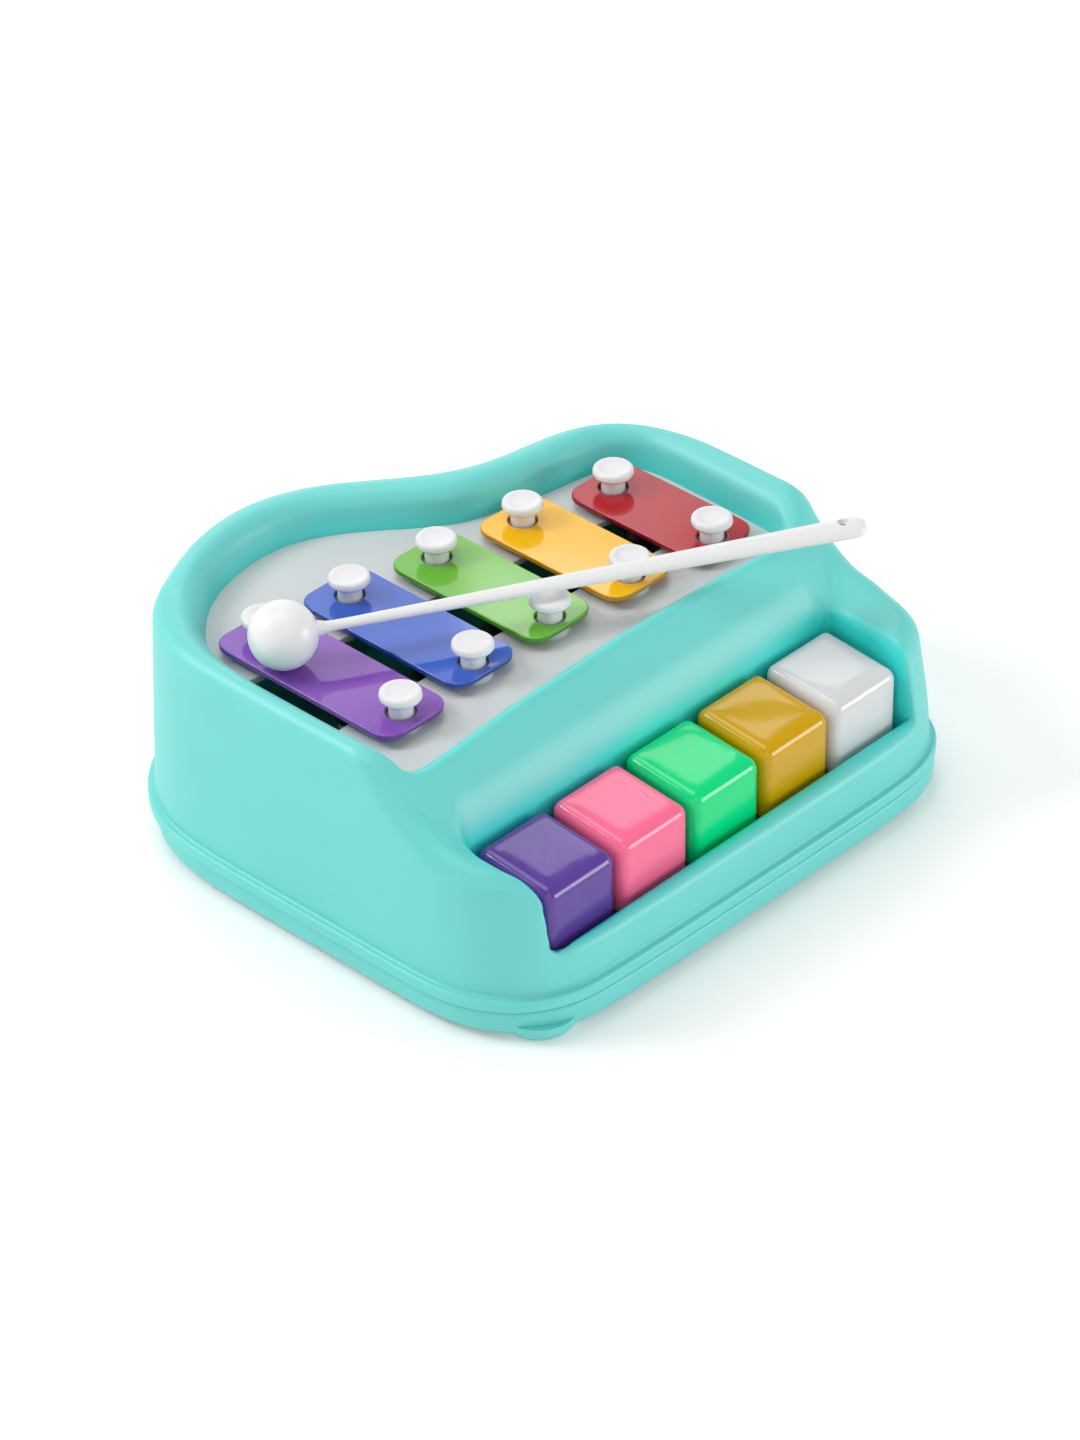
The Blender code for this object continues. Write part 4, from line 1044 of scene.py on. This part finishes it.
# %% Bosses
BOSS_SIDE = ((2.35, -1), (5.6, -1), (5.6, 0.1), (5.3, 0.25), (5.15, 0.6), (5.1, 1.8))
boss_profile = [(radius, DECK_TOP + rise) for radius, rise in BOSS_SIDE]
boss_profile += round_over(4.7, DECK_TOP + 1.8, 0.4, 0, 90, 3) + [(2.35, DECK_TOP + BOSS_RISE)]
boss = turn("boss", boss_profile, (0, 0), DECK_WHITE, 32)
bosses = repeated("deck_bosses", boss, PINS, DECK_WHITE)
deck = join([deck, bosses])
dress(deck, "housing", "deck_plastic", "bar_deck")

# %% [markdown]
# ## The tone bars
#
# The bars are the musical scale made visible: one width, one thickness, and a length that grows with
# every lower note. So one rule makes all five. The tree draws a rectangle, rounds its corners, adds
# the two holes, fills the outline and gives it thickness.

# %% The bar tree
bar_tree, given = new_tree(
    "tone_bar", Width="Float", Front="Float", Rear="Float", Corner="Float", Hole_Radius="Float",
    Front_Hole="Float", Rear_Hole="Float", Centre="Float", Underside="Float", Thickness="Float",
    Material="Material")


def measure(operation, one, two):
    """The output of a math node in the bar tree."""
    return add_node(bar_tree, "ShaderNodeMath", {0: one, 1: two}, operation=operation).outputs[0]


def moved(geometry, x, y, z):
    """Geometry moved in the bar tree."""
    to = add_node(bar_tree, "ShaderNodeCombineXYZ", {"X": x, "Y": y, "Z": z}).outputs[0]
    return add_node(bar_tree, "GeometryNodeTransform", {
        "Geometry": geometry, "Translation": to}).outputs[0]


length = measure("SUBTRACT", given["Rear"], given["Front"])
middle = measure("MULTIPLY", measure("ADD", given["Rear"], given["Front"]), 0.5)
strip = add_node(bar_tree, "GeometryNodeCurvePrimitiveQuadrilateral", {
    "Width": given["Width"], "Height": length})
rounded = add_node(bar_tree, "GeometryNodeFilletCurve", {
    "Curve": strip.outputs[0], "Radius": given["Corner"], "Count": 9, "Limit Radius": True}, mode="POLY")
outlines = add_node(bar_tree, "GeometryNodeJoinGeometry")
circle = add_node(bar_tree, "GeometryNodeCurvePrimitiveCircle", {
    "Resolution": 36, "Radius": given["Hole Radius"]})
for outline in (moved(rounded.outputs[0], given["Centre"], middle, 0.0),
                moved(circle.outputs[0], given["Centre"], given["Front Hole"], 0.0),
                moved(circle.outputs[0], given["Centre"], given["Rear Hole"], 0.0)):
    bar_tree.links.new(outline, outlines.inputs[0])
sheet = add_node(bar_tree, "GeometryNodeFillCurve", {"Curve": outlines.outputs[0]}, mode="NGONS")
raised = add_node(bar_tree, "GeometryNodeExtrudeMesh", {
    "Mesh": sheet.outputs[0], "Offset Scale": given["Thickness"], "Individual": False}, mode="FACES")
under = add_node(bar_tree, "GeometryNodeFlipFaces", {"Mesh": sheet.outputs[0]})
whole = add_node(bar_tree, "GeometryNodeJoinGeometry", {"Geometry": raised.outputs["Mesh"]})
bar_tree.links.new(under.outputs[0], whole.inputs[0])
welded = add_node(bar_tree, "GeometryNodeMergeByDistance", {
    "Geometry": whole.outputs[0], "Distance": 0.01 * MM})
end_tree(bar_tree, moved(welded.outputs[0], 0.0, 0.0, given["Underside"]), given["Material"])

print("bar tree:", len(bar_tree.nodes), "nodes")

# %% [markdown]
# A Bevel modifier rounds the stamped edges, as enamel does where it flows round steel.

# %% Five bars
BAR_EDGE, BEVEL_FROM = 0.5, 50
BAR_CORNER, BAR_HOLE = 5.8, 4.3
for name in BAR_NAMES:
    (x0, y0, z0), (x1, y1, z1) = box_mm("tone_bar_" + name) * np.array(MM)
    holes = [sum(box_mm(f"bar_pin_{end}_{name}"))[1] / 2 * MM for end in ("front", "rear")]
    bar = make_piece("enamel_bar_" + name, [], [], ENAMELS[name])
    run_tree(bar, bar_tree, Width=x1 - x0, Front=y0, Rear=y1, Corner=BAR_CORNER * MM,
             Hole_Radius=BAR_HOLE * MM, Front_Hole=holes[0], Rear_Hole=holes[1],
             Centre=(x0 + x1) / 2, Underside=z0, Thickness=z1 - z0, Material=ENAMELS[name])
    bevel = bar.modifiers.new("edge", "BEVEL")
    bevel.width = BAR_EDGE * MM
    bevel.segments = 4
    bevel.limit_method = "ANGLE"
    bevel.angle_limit = math.radians(BEVEL_FROM)
    level_faces(bar)
    dress(bar, "housing", "bar_enamel_" + name, "tone_bar_" + name)

# %% [markdown]
# ## The pins
#
# Each bar hangs loosely between two mushroom pins, so that it can ring. The pins are pushed into the
# deck from above: a stem, a thicker neck that passes through the bar's hole, and a broad soft head
# with a shallow dish, where the moulding has sunk. All ten are alike, so one turned part is repeated.
# On the photo the heads lie lower than the solid ones, so here they sit 1.1 mm further down.

# %% Ten pins
HEAD_SINK = 1.1
HEAD_TOP = PIN_TOP - HEAD_SINK
STEM = ((0.01, 15.2), (1.5, 15.2), (2, 14.7), (2, 9.7), (3.5, 9.7))
NECK_RADIUS, NECK_TOP = 3.5, HEAD_TOP - 4.2
DISH = ((4.5, 0.03), (4.0, 0.14), (3.3, 0.33), (2.4, 0.42), (0.8, 0.45), (0.01, 0.45))
pin_profile = [(radius, PIN_TOP - depth) for radius, depth in STEM] + [(NECK_RADIUS, NECK_TOP)]
pin_profile += round_over(4.4, NECK_TOP, 0.9, 180, 115, 4)
pin_profile += [(4.9, HEAD_TOP - 3.0), (5.55, HEAD_TOP - 2.4)]
pin_profile += round_over(5.2, HEAD_TOP - 1.6, 0.8, -55, 20, 5)
pin_profile += round_over(4.95, HEAD_TOP - 1.0, 1.0, 20, 90, 5)
pin_profile += [(radius, HEAD_TOP - depth) for radius, depth in DISH]
pins = repeated("bar_pins", turn("pin", pin_profile, (0, 0), PIN_WHITE, 40), PINS, PIN_WHITE)
dress(pins, "housing", "white_plastic", *PIN_NODES)

# %% [markdown]
# ## The key caps
#
# A cap is a hollow cube with soft edges, open below. Its top leans up a little towards the back. A
# rounded box is a sphere whose eight parts were pulled to the corners of a smaller box: every point
# of a cube's surface is pushed to the same distance from that smaller box.

# %% Rounded boxes
def rounded_box(name, low, high, radius, material, arcs=5, flats=6):
    """A box with all edges rounded, from a grid on each of its six faces."""
    low, high = np.array(low, float), np.array(high, float)
    inner_low, inner_high = low + radius, high - radius
    bend = radius * np.tan(np.radians(np.linspace(45, 0, arcs + 1)))
    ticks = [np.concatenate([a - bend, np.linspace(a, b, flats + 1)[1:-1], b + bend[::-1]])
             for a, b in zip(inner_low, inner_high)]
    points, faces = [], []
    for axis in range(3):
        u, v = ticks[(axis + 1) % 3], ticks[(axis + 2) % 3]
        for end, side in ((high, 1), (low, -1)):
            start = len(points)
            for a in u:
                for b in v:
                    point = np.zeros(3)
                    point[axis], point[(axis + 1) % 3], point[(axis + 2) % 3] = end[axis], a, b
                    core = np.clip(point, inner_low, inner_high)
                    away = point - core
                    points.append(core + away / np.linalg.norm(away) * radius)
            for i in range(len(u) - 1):
                for j in range(len(v) - 1):
                    a = start + i * len(v) + j
                    quad = (a, a + len(v), a + len(v) + 1, a + 1)
                    faces.append(quad if side > 0 else quad[::-1])
    return tidy_mesh(make_piece(name, points, faces, material), 60)


# %% [markdown]
# On the photo the caps are fuller than the solid ones, so these are 0.5 mm wider a side, 1.5 mm
# deeper and up to 1.4 mm higher behind. The crown and the tilt grow from nothing at the open edge.

# %% Five caps
CAP_ROUND, CAP_INNER_ROUND = 3.2, 1.2
CAP_WALL = 1.8
CAP_TILT = 0.085
CAP_SINK = 1.3
CAP_CROWN, CROWN_BORDER = 0.4, 5.5
CAP_MORE = 0.5
CAP_BACK = 1.2
CAP_BELOW, INNER_BELOW, BLOCK_BELOW = 3, 9, 5
for name in KEY_NAMES:
    low, high = box_mm("key_cap_" + name)
    low, high = low - (CAP_MORE, CAP_MORE / 2, 0), high + (CAP_MORE, CAP_BACK, 0)
    top = high[2] - CAP_SINK
    cap = rounded_box("cap_" + name, low - (0, 0, CAP_BELOW), (high[0], high[1], top),
                      CAP_ROUND, CAPS[name])
    inner_low = (low[0] + CAP_WALL, low[1] + CAP_WALL, low[2] - INNER_BELOW)
    inner_high = (high[0] - CAP_WALL, high[1] - CAP_WALL, top - CAP_WALL)
    inner = rounded_box("inner", inner_low, inner_high, CAP_INNER_ROUND, CAPS[name], arcs=2, flats=2)
    below = block("below", (low[0] - 1, low[1] - 1, low[2] - BLOCK_BELOW),
                  (high[0] + 1, high[1] + 1, low[2]), CAPS[name])
    cut(cap, join([inner, below]))
    for vertex in cap.data.vertices:
        point = np.array(vertex.co) / MM
        share = (point[2] - low[2]) / (top - low[2])
        border = min(*(point - low)[:2], *(high - point)[:2])
        crown = CAP_CROWN * (1 - max(0, 1 - border / CROWN_BORDER) ** 2)
        vertex.co.z += share * (CAP_TILT * (point[1] - low[1]) + crown) * MM
    tidy_mesh(cap, 50)
    dress(cap, "key_" + name, "cap_" + name, "key_cap_" + name)

# %% [markdown]
# ## Springs and screws
#
# A wound spring is a spiral with a round section: the textbook case for Geometry Nodes. Each spring
# is squeezed by its own key, and each is a piece of its own with a mesh of its own.

# %% Five springs
spring_tree, given = new_tree("spring", Turns="Float", Coil_Radius="Float", Wire_Radius="Float",
                              Height="Float", Material="Material")
coil = add_node(spring_tree, "GeometryNodeCurveSpiral", {
    "Resolution": 28, "Rotations": given["Turns"], "Start Radius": given["Coil Radius"],
    "End Radius": given["Coil Radius"], "Height": given["Height"]})
wire = add_node(spring_tree, "GeometryNodeCurvePrimitiveCircle", {
    "Resolution": 10, "Radius": given["Wire Radius"]})
wound = add_node(spring_tree, "GeometryNodeCurveToMesh", {
    "Curve": coil.outputs[0], "Profile Curve": wire.outputs[0], "Fill Caps": True})
end_tree(spring_tree, wound.outputs[0], given["Material"])
SPRING_TURNS = 5.0
COIL_RADIUS, WIRE_RADIUS, SPRING_END = 3.0, 0.38, 0.4
for name in KEY_NAMES:
    low, high = box_mm("key_spring_" + name)
    spring = make_piece("spring_" + name, [], [], STEEL)
    run_tree(spring, spring_tree, Turns=SPRING_TURNS, Coil_Radius=COIL_RADIUS * MM,
             Wire_Radius=WIRE_RADIUS * MM, Height=float(high[2] - low[2] - 2 * SPRING_END) * MM,
             Material=STEEL)
    spring.data.transform(Matrix.Translation((
        (low[0] + high[0]) / 2 * MM, (low[1] + high[1]) / 2 * MM, (low[2] + SPRING_END) * MM)))
    tidy_mesh(spring, 60)
    dress(spring, "housing", "steel", "key_spring_" + name)
    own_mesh(spring)

# %% [markdown]
# A screw is turned, with rings that stand for its thread, and gets a cross in its head.

# %% Four screws
THREAD_START, THREAD_TURNS, THREAD_PITCH = 2.6, 14, 1.1
CORE, THREAD = 1.0, 1.3
RIDGE = ((CORE, 0), (CORE, 0.25), (THREAD, 0.5), (CORE, 0.75))
TIP = ((CORE, 18.8), (0.3, 20.1), (0.01, 20.2))
CROSS_LONG, CROSS_WIDE, CROSS_DEEP = 1.5, 0.3, 1.2
head = box_mm(SCREW_NODES[0])[0][2]
screw_profile = [(0.01, head + 0.02), (1.9, head + 0.02)] + round_over(1.9, head + 0.9, 0.88, -90, 0, 4)
screw_profile += [(2.8, head + 2), (THREAD, head + 2)]
for thread in range(THREAD_TURNS):
    level = head + THREAD_START + thread * THREAD_PITCH
    screw_profile += [(radius, level + rise) for radius, rise in RIDGE]
screw_profile += [(radius, head + rise) for radius, rise in TIP]
screw = turn("screw", screw_profile, (0, 0), SCREW_STEEL, 24)
arms = [block("arm", (-a, -b, head - 1), (a, b, head + CROSS_DEEP), SCREW_STEEL)
        for a, b in ((CROSS_LONG, CROSS_WIDE), (CROSS_WIDE, CROSS_LONG))]
for arm in arms:
    cut(screw, arm)
screws = repeated("case_screws", screw, SCREWS, SCREW_STEEL)
dress(screws, "housing", "steel", *SCREW_NODES)

# %% [markdown]
# ## The mallet
#
# The mallet is one moulding: a ball with a collar, and a handle that widens towards its end, with a
# rib along the top and bottom so that the thin plastic stays straight. The end is rounded and has a
# hang hole. The handle is a row of sections along its axis, each a round bar with two raised ribs.

# %% Handle
ball_low, ball_high = box_mm("mallet_ball")
BALL_RADIUS = (ball_high[0] - ball_low[0]) / 2
centre = (ball_low + ball_high) / 2
END_X, END_Y = 0.434, -0.3034
handle_end = np.array([END_X * BODY_WIDTH, END_Y * BODY_WIDTH, centre[2]])
reach = np.linalg.norm(handle_end - centre)
along = (handle_end - centre) / reach
across = np.array([-along[1], along[0], 0])
END_ROUND, END_WIDE, END_TALL, END_RIB = 3.6, 3.9, 2.6, 0.2
RIB_WIDTH = 0.045
COLLAR = ((8.4, 1.7, 1.7, 0), (9.2, 2.1, 2.1, 0), (10.0, 2.25, 2.25, 0), (10.8, 2.1, 2.1, 0))
GRIP = ((12.0, 1.7, 1.7, 0), (14.5, 1.5, 1.5, 0.05), (20, 1.55, 1.45, 0.1), (45, 2.0, 1.6, 0.15),
        (80, 2.6, 1.9, 0.2), (115, 3.1, 2.2, 0.22), (140, 3.5, 2.45, 0.22))
rows = [*COLLAR, *GRIP, (reach - 9, END_WIDE, END_TALL, 0.22)]
rows.append((reach - END_ROUND, END_WIDE, END_TALL, END_RIB))
for a in arc(0, 84, 6)[1:]:
    rows.append((reach - END_ROUND + END_ROUND * math.sin(a), END_WIDE * math.cos(a),
                 END_TALL * math.cos(a) ** 0.7, END_RIB * math.cos(a)))
SIDES = 48
points = []
for distance, wide, tall, rib in rows:
    for a in 2 * np.pi * np.arange(SIDES) / SIDES:
        lift = rib * math.exp(-((abs(math.sin(a)) - 1) / RIB_WIDTH) ** 2) * math.copysign(1, math.sin(a))
        points.append(centre + along * distance + across * wide * math.cos(a)
                      + np.array([0, 0, tall * math.sin(a) + lift]))
handle = tidy_mesh(make_piece("handle", points, capped(len(rows), SIDES), MALLET_WHITE), 60)
HANG_HOLE = ((1.9, -4), (1.5, -1.6), (1.1, -1.3), (1.1, 1.3), (1.5, 1.6), (1.9, 4))
HOLE_IN = 7
hole = turn("hole", HANG_HOLE, (0, 0), MALLET_WHITE, 24)
hole.data.transform(Matrix.Translation(Vector(centre + along * (reach - HOLE_IN)) * MM))
cut(handle, hole)
tidy_mesh(handle, 50)
dress(handle, "mallet", "white_plastic", "mallet_handle")

# %% [markdown]
# The ball is an icosphere, whose faces are nearly equal all over.

# %% Ball
bm = bmesh.new()
bmesh.ops.create_icosphere(bm, subdivisions=5, radius=BALL_RADIUS * MM)
bmesh.ops.translate(bm, vec=Vector(centre) * MM, verts=bm.verts)
ball = from_bmesh("ball", bm, MALLET_WHITE)
ball.data.shade_smooth()
dress(ball, "mallet", "white_plastic", "mallet_ball")

# %% [markdown]
# ## What stays from the solid parts
#
# Levers, hammer tips, shaft and felts sit deep in the housing. Their solid shapes are right already,
# so they keep them and only take a finish.

# %% Finishes for the inner parts
KINDS = {"key_lever": LEVER_WHITE, "hammer_tip": RUBBER, "pivot_shaft": STEEL,
         "key_stop": FELT, "key_rest": FELT}
for node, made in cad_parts.items():
    for start, material in KINDS.items():
        if node.startswith(start):
            for place in made.material_slots:
                place.material = material
print("inner parts keep their solid shapes")

# %% [markdown]
# ## Floor, light and camera
#
# The toy stands on a white sweep. The floor glows a little, and more so far away, where the lamps
# hardly reach. Only the camera and reflections see that glow. So the floor reads as white, still
# shows the shadow, and adds no light of its own from below.

# %% Floor
FLOOR_GLOW, FAR_GLOW = 0.16, 0.6
FAR_START, FAR_END = 1.3, 3.2
FLOOR_HALF = 4
WHITE = (1, 1, 1, 1)


def seen_share(tree):
    """1 for camera, glossy and transmission rays, 0 for the rays that light the toy."""
    path = add_node(tree, "ShaderNodeLightPath")
    total = path.outputs["Is Camera Ray"]
    for other in ("Is Glossy Ray", "Is Transmission Ray"):
        larger = add_node(tree, "ShaderNodeMath", {0: total, 1: path.outputs[other]}, operation="MAXIMUM")
        total = larger.outputs[0]
    return total


paper, tree, surface, place = start_material("white_paper_sweep", "#F7F7F7", 0.9)
bm = bmesh.new()
bmesh.ops.create_grid(bm, x_segments=1, y_segments=1, size=FLOOR_HALF)
floor = from_bmesh("floor", bm, paper)
distance = add_node(tree, "ShaderNodeVectorMath", {0: place}, operation="LENGTH").outputs["Value"]
level = remap(tree, distance, FAR_START, FAR_END, FLOOR_GLOW, FAR_GLOW)
glow = add_node(tree, "ShaderNodeMath", {0: seen_share(tree), 1: level}, operation="MULTIPLY")
surface.inputs["Emission Color"].default_value = WHITE
tree.links.new(glow.outputs[0], surface.inputs["Emission Strength"])
print("floor:", 2 * FLOOR_HALF, "m wide")

# %% [markdown]
# Seven soft lamps light the toy, and so does the sky, which is bright near the horizon and dim
# above. The camera sees the sky as plain white. Two lamps stand behind on the right, the side that
# flat tops mirror towards the camera. All are weak enough that every colour renders about as it was
# written.

# %% Light
scene = bpy.context.scene
scene.view_settings.view_transform = "Standard"
world = bpy.data.worlds.new("studio")
scene.world = world
world.use_nodes = True
tree = world.node_tree
sky = tree.nodes["Background"]
SKY_LIGHT = 0.25
BRIGHT_UP_TO, DIM_FROM = 0.1, 0.5
direction = add_node(tree, "ShaderNodeTexCoord").outputs["Generated"]
height = add_node(tree, "ShaderNodeSeparateXYZ", {"Vector": direction}).outputs["Z"]
level = remap(tree, height, BRIGHT_UP_TO, DIM_FROM, 1, SKY_LIGHT)
seen = add_node(tree, "ShaderNodeLightPath").outputs["Is Camera Ray"]
strength = add_node(tree, "ShaderNodeMath", {0: level, 1: seen}, operation="MAXIMUM")
tree.links.new(strength.outputs[0], sky.inputs["Strength"])
sky.inputs["Color"].default_value = WHITE


def soft_lamp(name, place, target, size, power):
    """A square area lamp that faces a target."""
    lamp = bpy.data.lights.new(name, "AREA")
    lamp.size = size
    lamp.energy = power
    made = bpy.data.objects.new(name, lamp)
    made.location = place
    made.rotation_euler = (Vector(target) - Vector(place)).to_track_quat("-Z", "Y").to_euler()
    scene.collection.objects.link(made)


TARGET = (0, 0, 0.04)
LAMPS = (
    ("back_right", (1.03, 1.34, 0.70), (1.03, 0.14, -0.2), 1.0, 4.5),
    ("above_keys", (0.96, 0.73, 1.1), TARGET, 0.4, 1.2),
    ("overhead", (0.0, 0.4, 1.6), TARGET, 1.0, 8.3),
    ("front_right", (0.85, -1.2, 0.28), TARGET, 0.5, 6),
    ("back_left", (-0.66, 0.78, 0.92), TARGET, 0.45, 7),
    ("front", (-0.6, -1.2, 1.3), TARGET, 1.0, 4.2),
    ("front_left", (-1.4, -0.6, 0.6), TARGET, 0.8, 1.6),
)
for lamp in LAMPS:
    soft_lamp(*lamp)
print("lamps:", len(LAMPS))

# %% [markdown]
# The camera was fitted to the photo in key pitches. Its three angles give its own directions, and
# its place follows from how far it stands away, to the left and up, seen along them.

# %% Camera
AZIMUTH, ELEVATION, ROLL = (math.radians(a) for a in (-45.658, 35.506, -1.128))
LENS, SENSOR = 125, 36
KEY_PITCH = 0.029
AWAY, LEFT, UP = 46.043, 0.693, 1.230
FIT_START = Vector((-0.0451, -0.079, 0.043))
away = Vector((math.sin(AZIMUTH) * math.cos(ELEVATION), -math.cos(AZIMUTH) * math.cos(ELEVATION),
               math.sin(ELEVATION)))
level_right = Vector((math.cos(AZIMUTH), math.sin(AZIMUTH), 0))
level_up = away.cross(level_right)
right = level_right * math.cos(ROLL) + level_up * math.sin(ROLL)
up = level_up * math.cos(ROLL) - level_right * math.sin(ROLL)
camera = bpy.data.objects.new("camera", bpy.data.cameras.new("camera"))
camera.data.lens = LENS
camera.data.sensor_width = SENSOR
place = (away * AWAY - right * LEFT + up * UP) * KEY_PITCH + FIT_START
camera.matrix_world = Matrix.Translation(place) @ Matrix((right, up, away)).transposed().to_4x4()
scene.collection.objects.link(camera)
scene.camera = camera
print("camera", [round(v, 3) for v in place], "m")
